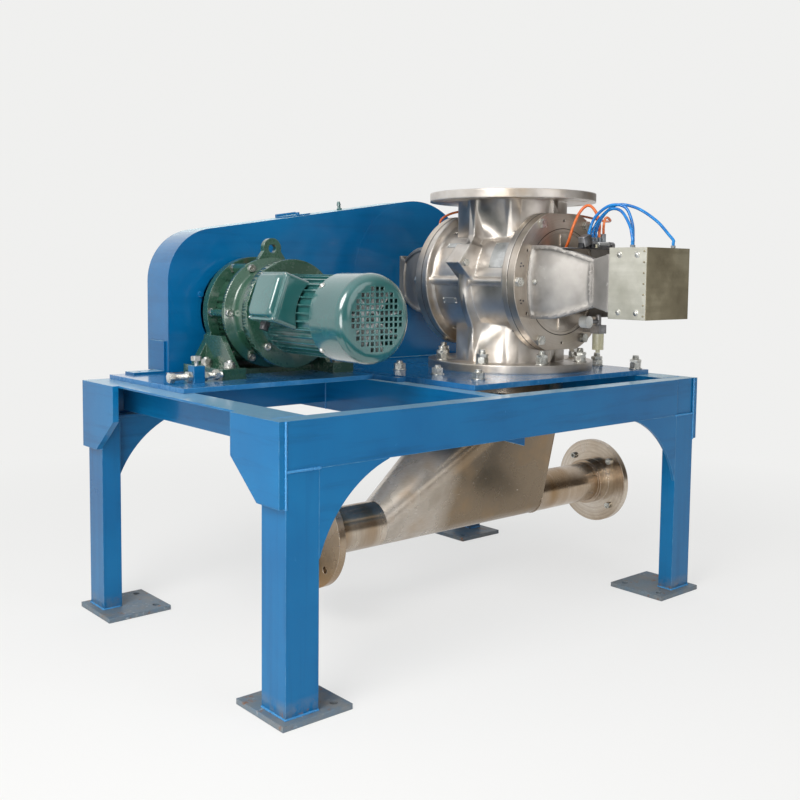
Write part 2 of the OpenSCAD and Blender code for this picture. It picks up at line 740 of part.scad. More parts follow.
module filler_plug() color([0.75, 0.10, 0.08]) place() difference() {
    at_drive(740) translate([0, 0, 120]) {
        cylinder(r = 12, h = 16, $fn = 32);
        translate([0, 0, 16]) cylinder(r = 9, h = 14, $fn = 32);
    }
    at_drive(700) ybar(case_r, 80);
}

module reducer_bolts() color(c_zinc) place() for (i = [0:5]) at_drive(0)
    rotate([0, 60 * i, 0]) translate([137, 0, 0]) {
        translate([0, 680, 0]) difference() {
            ybar(10, 10);
            translate([0, -1, 0]) rotate([-90, 0, 0]) cylinder(r = 5, h = 7, $fn = 6);
        }
        translate([0, 705, 0]) ybar(7, 57);
        translate([0, 762, 0]) rotate([-90, 0, 0]) hexagon(22, 14);
    }

module output_shaft() color([0.6, 0.6, 0.6]) place() at_drive(778) ybar(out_d / 2, 146);

module motor_housing() color(c_teal) place() difference() {
    union() {
        at_drive(372) ybar(motor_d / 2 - 9, 219);
        at_drive(575) ybar(motor_d / 2, 16);
        at_drive(352) ybar(motor_d / 2 + 2, 20);
        for (i = [0:fins - 1]) at_drive(371) rotate([0, 360 / fins * (i + 0.5), 0])
            translate([-1.5, 0, 80]) cube([3, 205, motor_d / 2 - 80.1]);
    }
    at_drive(351) ybar(14 + run_gap, 238);
}

module motor_shaft() color([0.6, 0.6, 0.6]) place() at_drive(266) ybar(14, 320);

module fan() color([0.12, 0.13, 0.13]) place() at_drive(276) difference() {
    union() {
        translate([0, -4, 0]) ybar(30, 46);
        for (i = [0:8]) rotate([0, 40 * i, 0]) translate([-1.5, -22, 27]) cube([3, 62, 63]);
    }
    translate([0, -5, 0]) ybar(14, 48);
}

module fan_cowl() color(c_teal) place() difference() {
    at_drive(0) rotate([-90, 0, 0]) rotate_extrude($fn = 96) polygon([[0, 241], [86, 241.5],
        [98, 246], [106, 254], [cowl_d / 2, 266], [cowl_d / 2, 366], [cowl_d / 2 - 2.5, 366],
        [cowl_d / 2 - 2.5, 266.5], [104, 256], [96.6, 248.2], [85.5, 244], [0, 243.5]]);
    at_drive(230) for (x = [-5:5], z = [-5:5]) if (norm([x, z]) < 5.2)
        translate([14.5 * x - 5, 0, 14.5 * z - 5]) cube([10, 20, 10]);
}

// Square with rounded corners, exact
module rrect(a, b, r) {
    square([a - 2 * r, b], center = true);
    square([a, b - 2 * r], center = true);
    for (x = [1, -1], y = [1, -1]) translate([x * (a / 2 - r), y * (b / 2 - r)]) circle(r = r, $fn = 32);
}

// Terminal box frame: +Z points away from the motor, X along its tangent, Y along the motor
module at_terminal() translate([drive_x, 487, drive_z]) rotate([0, 19 - 90, 0]) children();

module terminal_box() color(c_teal) place() difference() {
    at_terminal() translate([0, 0, 76]) linear_extrude(72) rrect(126, 116, 12);
    at_drive(400) ybar(motor_d / 2, 200);
    at_terminal() translate([-54, -48, 122]) cube([108, 96, 40]);
}

module terminal_cover() color(c_teal) place() at_terminal() {
    translate([0, 0, 148]) linear_extrude(9) rrect(126, 116, 12);
    translate([0, 0, 157]) linear_extrude(8) rrect(116, 106, 12);
    translate([0, 0, 165]) linear_extrude(7) rrect(106, 96, 12);
}

module motor_screws() color(c_zinc) place() {
    for (i = [0:3]) at_drive(591) rotate([0, 45 + 90 * i, 0]) translate([118, 0, 0])
        rotate([90, 0, 0]) {
            cylinder(r = 12, h = 2, $fn = 32);
            translate([0, 0, 2]) hexagon(19, 10);
        }
    for (i = [0:3]) at_drive(357) rotate([0, 45 + 90 * i, 0])
        translate([cowl_d / 2, 0, 0]) rotate([0, 90, 0]) cylinder(r = 6, h = 4, $fn = 24);
    at_terminal() for (x = [1, -1], y = [1, -1]) translate([57 * x, 52 * y, 157])
        cylinder(r = 3.6, h = 3, $fn = 24);
}

module cable_gland() color([0.12, 0.12, 0.13]) place() at_terminal() translate([-63, 20, 128])
    rotate([0, -90, 0]) {
        cylinder(r = 14, h = 5, $fn = 6);
        translate([0, 0, 5]) cylinder(r = 11, h = 12, $fn = 32);
    }

// Jack screw that sets the chain tension -----------------------------------

jack_x = 158;
jack_y = 600;
jack_z = mp_z + 16;
module jack_block() color(c_frame) place() difference() {
    translate([jack_x - 15, jack_y - 15, mp_z]) cube([30, 30, 42]);
    translate([jack_x - 20, jack_y, jack_z]) xbar(8, 40);
    translate([jack_x, jack_y, jack_z + 12]) cylinder(r = 6, h = 40, $fn = 24);
}

module drive_bolts() color(c_zinc) place() {
    for (x = hold_x, y = hold_y) translate([x, y, 0]) stud_nut(8, frame_h, mp_z + pad_t, 6);
    translate([95, jack_y, jack_z]) xbar(8, 231 - 95);
    translate([82, jack_y, jack_z]) rotate([0, 90, 0]) hexagon(24, 13);
    for (x = [130, 173.2, 206]) translate([x, jack_y, jack_z]) rotate([0, 90, 0]) difference() {
        hexagon(24, 12.8);
        translate([0, 0, -1]) cylinder(r = 8, h = 20, $fn = 64);
    }
    translate([jack_x, jack_y, mp_z + 42]) {
        translate([0, 0, -12]) cylinder(r = 6, h = 24, $fn = 24);
        translate([0, 0, 12]) hexagon(24, 12);
    }
}

// Sensor box ---------------------------------------------------------------

box_y0 = yoke_y0 - box_deep;
module at_box() translate([valve_x, yoke_y0, axis_z]) children();

module sensor_box() color(c_box) place() at_box() difference() {
    translate([-box_side / 2, -box_deep + 2, -box_side / 2]) cube([box_side, box_deep - 2, box_side]);
    translate([2 - box_side / 2, -box_deep, 2 - box_side / 2])
        cube([box_side - 4, box_deep - 2, box_side - 4]);
    translate([0, -10, 0]) ybar(40, 20);
}

module box_cover() color([0.50, 0.47, 0.38]) place() at_box()
    translate([-box_side / 2, -box_deep, -box_side / 2]) cube([box_side, 2, box_side]);

module box_screws() color(c_zinc) place() at_box() {
    for (s = [1, -1], y = [-32, -86], z = [-73, 73])
        translate([s * box_side / 2, y, z]) rotate([0, s * 90, 0]) {
            cylinder(r = 8, h = 1.2, $fn = 32);
            translate([0, 0, 1.2]) cylinder(r = 5.5, h = 4, $fn = 24);
        }
}

module speed_sensor() color([0.15, 0.15, 0.17]) place() at_box() {
    translate([0, -38, -84]) cylinder(r = 9, h = 18, $fn = 32);
    translate([-20, -60, -88.9]) cube([40, 44, 4.9]);
}

// Air supply ---------------------------------------------------------------

man_y = 130;
man_z = axis_z + 92;
module air_manifold() color([0.60, 0.61, 0.62]) place() {
    translate([1072, man_y - 14, man_z]) cube([84, 28, 18]);
    translate([1156, man_y, man_z + 9]) xbar(7, 12);
    translate([1168, man_y, man_z + 9]) xbar(10, 14);
    translate([1062, man_y, man_z + 9]) xbar(8, 10);
    translate([980, man_y - 12, man_z - 2]) cube([256, 22, 2]);
}

module air_fittings() color([0.35, 0.37, 0.40]) place() {
    for (x = [1082, 1096, 1110, 1124]) translate([x, man_y, man_z + 18]) cylinder(r = 6, h = 12, $fn = 24);
    translate([1142, man_y, man_z + 18]) cylinder(r = 7, h = 22, $fn = 24);
    for (p = [[1096, -2], [1066, -22], [1184, -64]])
        translate([p[0], p[1], axis_z + box_side / 2]) cylinder(r = 6, h = 8, $fn = 24);
    translate([1085, cover_y0 + 3 - 12, axis_z + 88]) rotate([-90, 0, 0]) cylinder(r = 6, h = 12, $fn = 24);
    translate([1050, cover_y1 - 3, axis_z + 111]) rotate([-90, 0, 0]) cylinder(r = 6, h = 12, $fn = 24);
}

function unit(v) = v / norm(v);
function knot(p, i) = p[max(0, min(len(p) - 1, i))];
function curve(p, i, u) = 0.5 * (2 * knot(p, i) + (knot(p, i + 1) - knot(p, i - 1)) * u
    + (2 * knot(p, i - 1) - 5 * knot(p, i) + 4 * knot(p, i + 1) - knot(p, i + 2)) * u * u
    + (3 * knot(p, i) - knot(p, i - 1) - 3 * knot(p, i + 1) + knot(p, i + 2)) * u * u * u);
function route(p, k) = concat([for (i = [0:len(p) - 2], j = [0:k - 1]) curve(p, i, j / k)],
    [p[len(p) - 1]]);
function heading(q, i) = unit(q[min(len(q) - 1, i + 1)] - q[max(0, i - 1)]);
function carry(q, i = 0, acc = []) = i == len(q) ? acc
    : let (t = heading(q, i), a = i == 0 ? unit(cross(t, [0.41, 0.83, 0.37])) : acc[i - 1])
        carry(q, i + 1, concat(acc, [unit(a - (a * t) * t)]));

module tube(p, r, k) {
    q = route(p, k);
    n = carry(q);
    m = len(q);
    pts = [for (i = [0:m - 1], a = [0:45:315])
        q[i] + r * (cos(a) * n[i] + sin(a) * cross(heading(q, i), n[i]))];
    sides = [for (i = [0:m - 2], a = [0:7]) [8 * i + a, 8 * i + 8 + a, 8 * i + 8 + (a + 1) % 8,
        8 * i + (a + 1) % 8]];
    polyhedron(pts, concat([[for (a = [0:7]) a]], sides, [[for (a = [7:-1:0]) 8 * (m - 1) + a]]));
}

fit_top = man_z + 30 - axis_z;
box_top = box_side / 2 + 8;
// Tube routes: X, Y and the height above the rotor axis
blue_routes = [
    [[1082, 130, fit_top], [1082, 130, fit_top + 7], [1082, 130, fit_top + 16], [1084, 112, 176],
        [1092, 72, 204], [1102, 30, 198], [1104, 8, 156], [1096, -2, box_top + 16],
        [1096, -2, box_top + 7], [1096, -2, box_top]],
    [[1096, 130, fit_top], [1096, 130, fit_top + 7], [1096, 130, fit_top + 16], [1098, 112, 168],
        [1098, 76, 194], [1090, 34, 188], [1074, -6, 150], [1066, -22, box_top + 16],
        [1066, -22, box_top + 7], [1066, -22, box_top]],
    [[1110, 130, fit_top], [1110, 130, fit_top + 7], [1110, 130, fit_top + 16], [1110, 108, 178],
        [1112, 66, 206], [1136, 20, 198], [1164, -24, 164], [1180, -54, 126],
        [1184, -64, box_top + 14], [1184, -64, box_top + 7], [1184, -64, box_top]]];

module blue_tubes() color([0.10, 0.45, 0.85]) place() translate([0, 0, axis_z])
    for (p = blue_routes) tube(p, 4, 6);

module copper_tubes() color([0.78, 0.38, 0.18]) place() translate([0, 0, axis_z]) {
    tube([[1085, cover_y0 - 9, 88], [1085, cover_y0 - 15, 88], [1085, cover_y0 - 24, 88],
        [1085, 204, 112], [1086, 190, 150], [1090, 174, 186], [1100, 160, 206],
        [1112, 150, 206], [1121, 138, 186], [1124, 130, fit_top + 34],
        [1124, 130, fit_top + 14], [1124, 130, fit_top]], 4, 6);
    tube([[1050, cover_y1 + 9, 111], [1050, cover_y1 + 15, 111], [1050, cover_y1 + 24, 111],
        [1040, 668, 142], [1040, 668, 184],
        [1080, 640, 208], [1170, 626, 210], [1270, 560, 210], [1310, 450, 206],
        [1292, 330, 194], [1240, 210, 174], [1196, 150, 170], [1164, 136, 178],
        [1147, 131, 170], [1142, 130, fit_top + 28], [1142, 130, fit_top + 18],
        [1142, 130, fit_top + 10]], 3.5, 5);
}

module air_regulator() color([0.55, 0.55, 0.50]) place() {
    translate([1200, cover_y0 - 38, axis_z - 142]) cube([8, 38, 18]);
    translate([1188, cover_y0 - 68, axis_z - 144]) cube([32, 32, 24]);
    translate([1204, cover_y0 - 52, axis_z - 121]) cylinder(r = 8, h = 30, $fn = 32);
    translate([1165.5, cover_y0 - 52, axis_z - 110]) xbar(6, 35);
}

module regulator_bowl() color([0.62, 0.60, 0.45]) place()
    translate([1204, cover_y0 - 52, axis_z - 190]) {
        cylinder(r = 16, h = 46, $fn = 32);
        translate([0, 0, -8]) cylinder(r = 6, h = 8, $fn = 24);
    }

module pressure_gauge() color([0.80, 0.80, 0.78]) place() translate([1148, cover_y0 - 64, axis_z - 110])
    difference() {
        ybar(17, 24);
        translate([0, -1, 0]) ybar(14.5, 4);
    }

// Shoe and conveying pipe --------------------------------------------------

module shoe_hull(r_top, r_pipe, x0, x1, up) hull() {
    translate([valve_x, pipe_y, frame_h - 63]) cylinder(r = r_top, h = 15 + up, $fn = 72);
    translate([x0, pipe_y, pipe_z]) rotate([0, 90, 0]) cylinder(r = r_pipe, h = x1 - x0, $fn = 32);
}

module shoe() color(c_steel) place() difference() {
    shoe_hull(neck_r, pipe_r, shoe_x0, shoe_x1, 0);
    shoe_hull(port_r, pipe_r - pipe_wall, shoe_x0 + 8, shoe_x1 - 8, 1);
    translate([shoe_x0 - 1, pipe_y, pipe_z]) xbar(pipe_r - pipe_wall, shoe_x1 - shoe_x0 + 2);
    translate([shoe_x1, pipe_y, pipe_z]) xbar(pipe_r + 0.3, 70);
}

module pipe_ends() color(c_steel) place() {
    translate([0, pipe_y, pipe_z]) difference() {
        union() {
            translate([401, 0, 0]) xbar(pipe_r, shoe_x0 - 401);
            translate([shoe_x1, 0, 0]) xbar(pipe_r, 1465 - shoe_x1);
        }
        translate([300, 0, 0]) xbar(pipe_r - pipe_wall, 1300);
    }
    translate([valve_x, valve_y, frame_h - 48]) difference() {
        cylinder(r = neck_r, h = 48, $fn = 96);
        translate([0, 0, -1]) cylinder(r = port_r, h = 60, $fn = 96);
    }
}

module pipe_flange(x, side) translate([x, pipe_y, pipe_z]) rotate([0, side * 90, 0]) difference() {
    union() {
        cylinder(r = pipe_flange_d / 2, h = 20, $fn = 96);
        if (side > 0) translate([0, 0, -40]) cylinder(r = pipe_r + 10, h = 41);
    }
    for (i = [0:3]) rotate([0, 0, 45 + 90 * i]) translate([pipe_pcd / 2, 0, -1])
        cylinder(r = pipe_hole_r, h = 30, $fn = 24);
    translate([0, 0, -50]) cylinder(r = pipe_r - pipe_wall, h = 90);
}

module pipe_flanges() color(c_steel) place() {
    pipe_flange(401, -1);
    pipe_flange(1505, 1);
}

main_beams();
side_rails();
cross_beam();
legs();
feet();
corner_plates();
arch_gussets();
motor_plate();
valve_plate();
plate_bolts();
valve_body();
end_covers();
cover_bolts();
outlet_studs();
shaft_seals();
bearing_yokes();
bearings();
rotor();
rotor_shaft();
speed_disc();
driven_sprocket();
drive_sprocket();
chain();
guard_shell();
guard_back();
guard_hatch();
hatch_hinge();
guard_breather();
guard_brackets();
guard_screws();
reducer_base();
reducer_case();
lifting_lug();
filler_plug();
reducer_bolts();
output_shaft();
motor_housing();
motor_shaft();
fan();
fan_cowl();
terminal_box();
terminal_cover();
motor_screws();
cable_gland();
jack_block();
drive_bolts();
sensor_box();
box_cover();
box_screws();
speed_sensor();
air_manifold();
air_fittings();
blue_tubes();
copper_tubes();
air_regulator();
regulator_bowl();
pressure_gauge();
shoe();
pipe_ends();
pipe_flanges();
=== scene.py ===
import bpy
import bmesh
import math
from mathutils import Matrix, Quaternion, Vector


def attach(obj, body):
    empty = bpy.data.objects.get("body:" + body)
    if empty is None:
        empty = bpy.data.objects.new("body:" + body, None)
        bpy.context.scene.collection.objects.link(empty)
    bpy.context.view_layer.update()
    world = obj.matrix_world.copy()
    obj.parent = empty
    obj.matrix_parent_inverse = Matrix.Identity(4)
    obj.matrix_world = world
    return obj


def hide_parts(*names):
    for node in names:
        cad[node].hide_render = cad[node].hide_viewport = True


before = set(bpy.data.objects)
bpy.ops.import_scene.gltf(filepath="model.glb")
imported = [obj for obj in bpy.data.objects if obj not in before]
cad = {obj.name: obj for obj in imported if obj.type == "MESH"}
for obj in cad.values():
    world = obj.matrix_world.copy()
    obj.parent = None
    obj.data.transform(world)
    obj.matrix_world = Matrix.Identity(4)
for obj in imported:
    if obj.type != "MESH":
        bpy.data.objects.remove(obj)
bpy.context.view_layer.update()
print("stage: frame loaded")

machineZero = Vector((761.0, 424.5, 0.0))  # the drawing's corner, seen from the row frame, mm


def spot(x, y, z):
    return (Vector((x, y, z)) - machineZero) / 1000.0


# camera
camera = {"place": (-1064.5, -1589.7, 897.2), "yaw": 40.525, "pitch": 4.399, "roll": 0.582,
          "lens": 45.03, "shiftX": 0.0042, "shiftY": -0.0637}


def makeCamera(c):
    yaw, pitch, roll = (math.radians(c[k]) for k in ("yaw", "pitch", "roll"))
    ahead = Vector((math.sin(yaw) * math.cos(pitch), math.cos(yaw) * math.cos(pitch), -math.sin(pitch)))
    right = Vector((math.cos(yaw), -math.sin(yaw), 0.0))
    up = right.cross(ahead)
    side = math.cos(roll) * right + math.sin(roll) * up
    top = -math.sin(roll) * right + math.cos(roll) * up
    data = bpy.data.cameras.new("camera")
    data.sensor_width = 36.0
    data.lens = c["lens"]
    data.shift_x = c["shiftX"]
    data.shift_y = c["shiftY"]
    data.clip_end = 100.0
    obj = bpy.data.objects.new("camera", data)
    turn = Matrix((side, top, -ahead)).transposed().to_4x4()
    obj.matrix_world = Matrix.Translation(spot(*c["place"])) @ turn
    bpy.context.collection.objects.link(obj)
    bpy.context.scene.camera = obj


makeCamera(camera)


# node helpers
def setInputs(tree, node, values):
    for key, value in values.items():
        if isinstance(value, bpy.types.NodeSocket):
            tree.links.new(value, node.inputs[key])
        else:
            node.inputs[key].default_value = value


def addNode(tree, kind, values=None, **props):
    made = tree.nodes.new(kind)
    for key, value in props.items():
        setattr(made, key, value)
    setInputs(tree, made, values or {})
    return made


def rgb(colour):
    # 0 to 255 as seen on a screen, made linear
    def lin(v):
        v /= 255.0
        return v / 12.92 if v <= 0.04045 else ((v + 0.055) / 1.055) ** 2.4
    return (*(lin(v) for v in colour), 1.0)


def mixColor(tree, amount, first, second):
    return addNode(tree, "ShaderNodeMix", {0: amount, 6: first, 7: second}, data_type="RGBA").outputs[2]


def spread(tree, value, low, high, toLow=0.0, toHigh=1.0):
    made = addNode(tree, "ShaderNodeMapRange", {0: value, 1: low, 2: high, 3: toLow, 4: toHigh})
    return made.outputs[0]


def maths(tree, what, first, second=0.0):
    return addNode(tree, "ShaderNodeMath", {0: first, 1: second}, operation=what).outputs[0]


def vectorMaths(tree, what, first, second=(0.0, 0.0, 0.0)):
    made = addNode(tree, "ShaderNodeVectorMath", {0: first, 1: second}, operation=what)
    return made.outputs["Value" if what in ("DOT_PRODUCT", "LENGTH") else "Vector"]


def along(tree, vector, axis):
    return addNode(tree, "ShaderNodeSeparateXYZ", {0: vector}).outputs[axis]


def objectSpace(tree):
    return addNode(tree, "ShaderNodeTexCoord").outputs["Object"]


def stretched(tree, size, turn=(0, 0, 0)):
    return addNode(tree, "ShaderNodeMapping", {0: objectSpace(tree), 2: turn, 3: size}).outputs[0]


def noise(tree, where, scale, detail, rough=0.55):
    return addNode(tree, "ShaderNodeTexNoise", {"Vector": where, "Scale": scale, "Detail": detail,
                                                "Roughness": rough}).outputs["Fac"]


def edgeMask(tree, radius):
    # how much the corner would turn if it were rounded by this radius
    rounded = addNode(tree, "ShaderNodeBevel", {"Radius": radius}, samples=4).outputs[0]
    flat = addNode(tree, "ShaderNodeNewGeometry").outputs["Normal"]
    away = maths(tree, "SUBTRACT", 1.0, vectorMaths(tree, "DOT_PRODUCT", rounded, flat))
    return spread(tree, away, 0.02, 0.22), rounded


def startMaterial(name):
    mat = bpy.data.materials.new(name)
    mat.use_nodes = True
    tree = mat.node_tree
    tree.nodes.clear()
    shader = addNode(tree, "ShaderNodeBsdfPrincipled")
    addNode(tree, "ShaderNodeOutputMaterial", {0: shader.outputs[0]})
    return mat, tree, shader


def bumpFrom(tree, heights, normal):
    # heights: (value, metres, strength)
    for value, far, strength in heights:
        normal = addNode(tree, "ShaderNodeBump", {"Strength": strength, "Distance": far,
                                                  "Height": value, "Normal": normal}).outputs[0]
    return normal


# painted steel and castings
streakTone = (0.0, 0.03, 0.09, 1.0)
bloomTone = (0.62, 0.93, 1.0, 1.0)


def paintMaterial(name, base, light, edge, rough=0.32, coat=0.25, coatIor=1.5, spec=0.5, bloom=0.0,
                  rounding=0.0025, edgeShare=0.55, peel=0.00025, dents=0.0012, cast=0.0, fleck=None,
                  fleckLow=0.66, dust=0.25, dustTone=None, shade=0.0, streak=(1.6, 1.6, 22.0), foot=None):
    mat, tree, shader = startMaterial(name)
    where = objectSpace(tree)
    broad = noise(tree, where, 2.6, 4.0)
    tone = mixColor(tree, spread(tree, broad, 0.32, 0.68), rgb(base), rgb(light))
    brushed = noise(tree, stretched(tree, streak), 2.0, 5.0, 0.65)
    tone = mixColor(tree, spread(tree, brushed, 0.30, 0.50, shade, 0.0), tone, streakTone)
    runs = noise(tree, stretched(tree, (9.0, 9.0, 1.2)), 2.2, 5.0)
    tone = mixColor(tree, spread(tree, runs, 0.5, 0.8, 0.0, dust), tone, rgb(dustTone or light))
    fine = noise(tree, where, 55.0, 6.0, 0.7)
    if fleck:
        tone = mixColor(tree, spread(tree, fine, fleckLow, fleckLow + 0.06), tone, rgb(fleck))
    # edges shifted to the edge tone: partly edge wear, partly painted highlight along the edges
    worn, rounded = edgeMask(tree, rounding)
    patchy = spread(tree, noise(tree, where, 30.0, 4.0), 0.35, 0.62, 0.15, 1.0)
    worn = maths(tree, "MULTIPLY", maths(tree, "MULTIPLY", worn, patchy), edgeShare)
    tone = mixColor(tree, worn, tone, rgb(edge))
    if foot:  # scuffed and rusty near the floor
        low = spread(tree, along(tree, where, 2), 0.014, 0.05, 1.0, 0.0)
        scuffs = spread(tree, noise(tree, where, 16.0, 8.0, 0.7), 0.40, 0.60)
        rust = spread(tree, noise(tree, where, 42.0, 6.0, 0.65), 0.60, 0.68)
        for mark, markTone in ((scuffs, foot[0]), (rust, foot[1])):
            tone = mixColor(tree, maths(tree, "MULTIPLY", low, mark), tone, rgb(markTone))
    uneven = maths(tree, "ADD", broad, maths(tree, "MULTIPLY", fine, 0.6))
    heights = [(noise(tree, where, 14.0, 3.0), dents, 0.35), (noise(tree, where, 420.0, 2.0), peel, 0.5)]
    if cast:
        heights.append((noise(tree, where, 150.0, 5.0, 0.65), cast, 0.6))
    setInputs(tree, shader, {"Base Color": tone, "Normal": bumpFrom(tree, heights, rounded),
                             "Roughness": spread(tree, uneven, 0.5, 1.1, rough * 0.8, rough * 1.35),
                             "Coat Weight": coat, "Coat Roughness": 0.12, "Coat IOR": coatIor,
                             "Sheen Weight": bloom, "Sheen Roughness": 0.22, "Sheen Tint": bloomTone,
                             "Specular IOR Level": spec})
    return mat


# bare metals
lineDepth = 0.00006  # of brushed and turned lines, m
# near black painted shade inside the cut ring on the covers
grooveShadeTone = (34, 30, 28)


def metalMaterial(name, base, dark, light, rough, metal=1.0, brush=None, rings=None, groove=None,
                  rounding=0.002, edgeLight=0.5, blotch=3.0, blast=0.0, scratch=0.0, heat=None, bands=None,
                  fade=None):
    mat, tree, shader = startMaterial(name)
    dark, light = rgb(dark), rgb(light)
    where = objectSpace(tree)
    # blotches between the dark, base and light tones: partly the metal's own patchiness, partly painted
    # reflection of dark brown surroundings
    broad = noise(tree, where, blotch, 5.0, 0.6)
    tone = mixColor(tree, spread(tree, broad, 0.30, 0.55), dark, rgb(base))
    tone = mixColor(tree, spread(tree, broad, 0.52, 0.75), tone, light)
    roughness = spread(tree, noise(tree, where, blotch * 4.0, 4.0), 0.3, 0.7, rough[0], rough[1])
    metallic = metal
    heights = []
    if brush:
        lines = noise(tree, stretched(tree, brush), 1.0, 4.0, 0.6)
        tone = mixColor(tree, spread(tree, lines, 0.35, 0.65, 0.35, 0.0), tone, dark)
        heights.append((lines, lineDepth, 0.5))
    if rings:  # turned: fine rings round an axis, given with a point on it and their scale
        axis, centre, scale = rings
        local = vectorMaths(tree, "SUBTRACT", where, centre)
        flat = vectorMaths(tree, "MULTIPLY", local, tuple(0.0 if i == axis else 1.0 for i in range(3)))
        far = vectorMaths(tree, "LENGTH", flat)
        walk = maths(tree, "ADD", far, along(tree, local, axis))
        ring = addNode(tree, "ShaderNodeTexNoise", {"W": walk, "Scale": scale, "Detail": 3.0},
                       noise_dimensions="1D").outputs["Fac"]
        tone = mixColor(tree, spread(tree, ring, 0.35, 0.65, 0.3, 0.0), tone, dark)
        heights.append((ring, lineDepth, 0.5))
    if fade:  # painted shade: darker from one place along X to another, and less metallic before it
        start, end, darker = fade
        past = maths(tree, "ADD", along(tree, where, 0), spread(tree, broad, 0.2, 0.8, -0.04, 0.04))
        tone = mixColor(tree, spread(tree, past, start, end), tone, rgb(darker))
        metallic = spread(tree, past, start, end, 0.55, metal)
    if groove:  # a cut ring with painted shade in it: radius and half width in metres
        off = maths(tree, "ABSOLUTE", maths(tree, "SUBTRACT", far, groove[0]))
        cut = spread(tree, off, groove[1] * 0.6, groove[1], 1.0, 0.0)
        tone = mixColor(tree, cut, tone, rgb(grooveShadeTone))
        heights.append((cut, -0.0012, 1.0))
    if bands:  # broad soft stripes along one direction
        stripe = noise(tree, stretched(tree, bands[0]), 1.0, 3.0)
        tone = mixColor(tree, spread(tree, stripe, 0.42, 0.6), tone, rgb(bands[1]))
    if heat:
        tinted = spread(tree, noise(tree, where, 9.0, 3.0), 0.52, 0.7, 0.0, 0.6)
        tone = mixColor(tree, tinted, tone, rgb(heat))
    if scratch:
        for turn, size in (((0.3, 0.5, 0.4), (40, 900, 40)), ((0.9, 0.2, 1.3), (900, 30, 60))):
            lines = noise(tree, stretched(tree, size, turn), 1.0, 2.0)
            cut = maths(tree, "MULTIPLY", spread(tree, lines, 0.70, 0.74),
                        spread(tree, noise(tree, where, 7.0, 2.0), 0.45, 0.6, 0.0, scratch))
            tone = mixColor(tree, cut, tone, light)
    if blast:
        heights += [(noise(tree, where, 520.0, 2.0), blast, 0.6),
                    (noise(tree, where, 60.0, 4.0), blast * 6.0, 0.35)]
    # edges lifted to the light tone: partly rubbed edges, partly painted highlight along the edges
    worn, rounded = edgeMask(tree, rounding)
    tone = mixColor(tree, maths(tree, "MULTIPLY", worn, edgeLight), tone, light)
    setInputs(tree, shader, {"Base Color": tone, "Roughness": roughness, "Metallic": metallic,
                             "Normal": bumpFrom(tree, heights, rounded)})
    return mat


def plasticMaterial(name, base, light, rough):
    mat, tree, shader = startMaterial(name)
    where = objectSpace(tree)
    tone = mixColor(tree, spread(tree, noise(tree, where, 24.0, 5.0), 0.35, 0.65), rgb(base), rgb(light))
    # edges lifted to the light tone: partly wear, partly painted highlight along the edges
    worn, rounded = edgeMask(tree, 0.001)
    tone = mixColor(tree, maths(tree, "MULTIPLY", worn, 0.5), tone, rgb(light))
    roughness = spread(tree, noise(tree, where, 90.0, 3.0), 0.3, 0.7, rough * 0.8, rough * 1.25)
    grain = noise(tree, where, 600.0, 2.0)
    setInputs(tree, shader, {"Base Color": tone, "Roughness": roughness,
                             "Normal": bumpFrom(tree, [(grain, 0.0001, 0.5)], rounded)})
    return mat


# places that several pieces share, mm: the valve's axis and cover faces, a point on the pipe's axis
valve = {"x": 1108.0, "y": 437.0, "z": 874.0, "front": 240.0, "back": 634.0}
pipe = {"x": 700.0, "y": 437.0, "z": 231.0}
valveAt = tuple(spot(valve["x"], valve["y"], valve["z"]))
pipeAt = tuple(spot(pipe["x"], pipe["y"], pipe["z"]))

# what each finish looks like, colours 0 to 255
frameBlue = dict(base=(0, 84, 134), light=(8, 100, 150), edge=(120, 182, 220), fleck=(50, 122, 178),
                 fleckLow=0.70, spec=0.08, coat=1.0, coatIor=1.24, bloom=0.9,
                 foot=((98, 108, 116), (120, 84, 60)))
paints = {
    "beamPaint": dict(frameBlue, shade=0.32),
    "legPaint": dict(frameBlue, shade=0.26, streak=(20.0, 20.0, 0.8)),
    "platePaint": dict(base=(24, 98, 156), light=(58, 126, 174), edge=(140, 188, 218), fleck=(96, 150, 190),
                       fleckLow=0.64, dust=0.5, dustTone=(96, 150, 190), rough=0.26, spec=0.15, coat=1.0,
                       coatIor=1.3),
    "footPaint": dict(base=(60, 92, 118), light=(98, 114, 124), edge=(150, 168, 180), rough=0.5, coat=0.0,
                      fleck=(140, 150, 156), fleckLow=0.60, dust=0.7, dustTone=(112, 114, 112),
                      foot=((106, 110, 112), (116, 78, 52))),
    "casingPaint": dict(base=(0, 86, 136), light=(12, 106, 158), edge=(110, 176, 218), rough=0.2, coat=1.0,
                        coatIor=1.32, bloom=0.9, shade=0.2, peel=0.0002, dents=0.003, dust=0.12, spec=0.12,
                        rounding=0.0012, edgeShare=0.12, fleck=(50, 112, 164), fleckLow=0.73),
    # welds a lighter blue than the frame: their paint, with painted highlight on the lumps and in the inside
    # corners
    "weldPaint": dict(base=(26, 104, 164), light=(60, 136, 188), edge=(140, 194, 226), rough=0.3,
                      rounding=0.001, spec=0.3),
    "reducerPaint": dict(base=(26, 62, 47), light=(44, 84, 66), edge=(140, 172, 156), rough=0.26, coat=1.0,
                         cast=0.0006, fleck=(86, 122, 104), fleckLow=0.68, spec=0.6),
    "motorPaint": dict(base=(24, 74, 74), light=(48, 106, 104), edge=(150, 196, 190), rough=0.22, coat=1.0,
                       coatIor=1.65, peel=0.0002, dents=0.0006, fleck=(84, 140, 132), fleckLow=0.72,
                       spec=0.6),
}
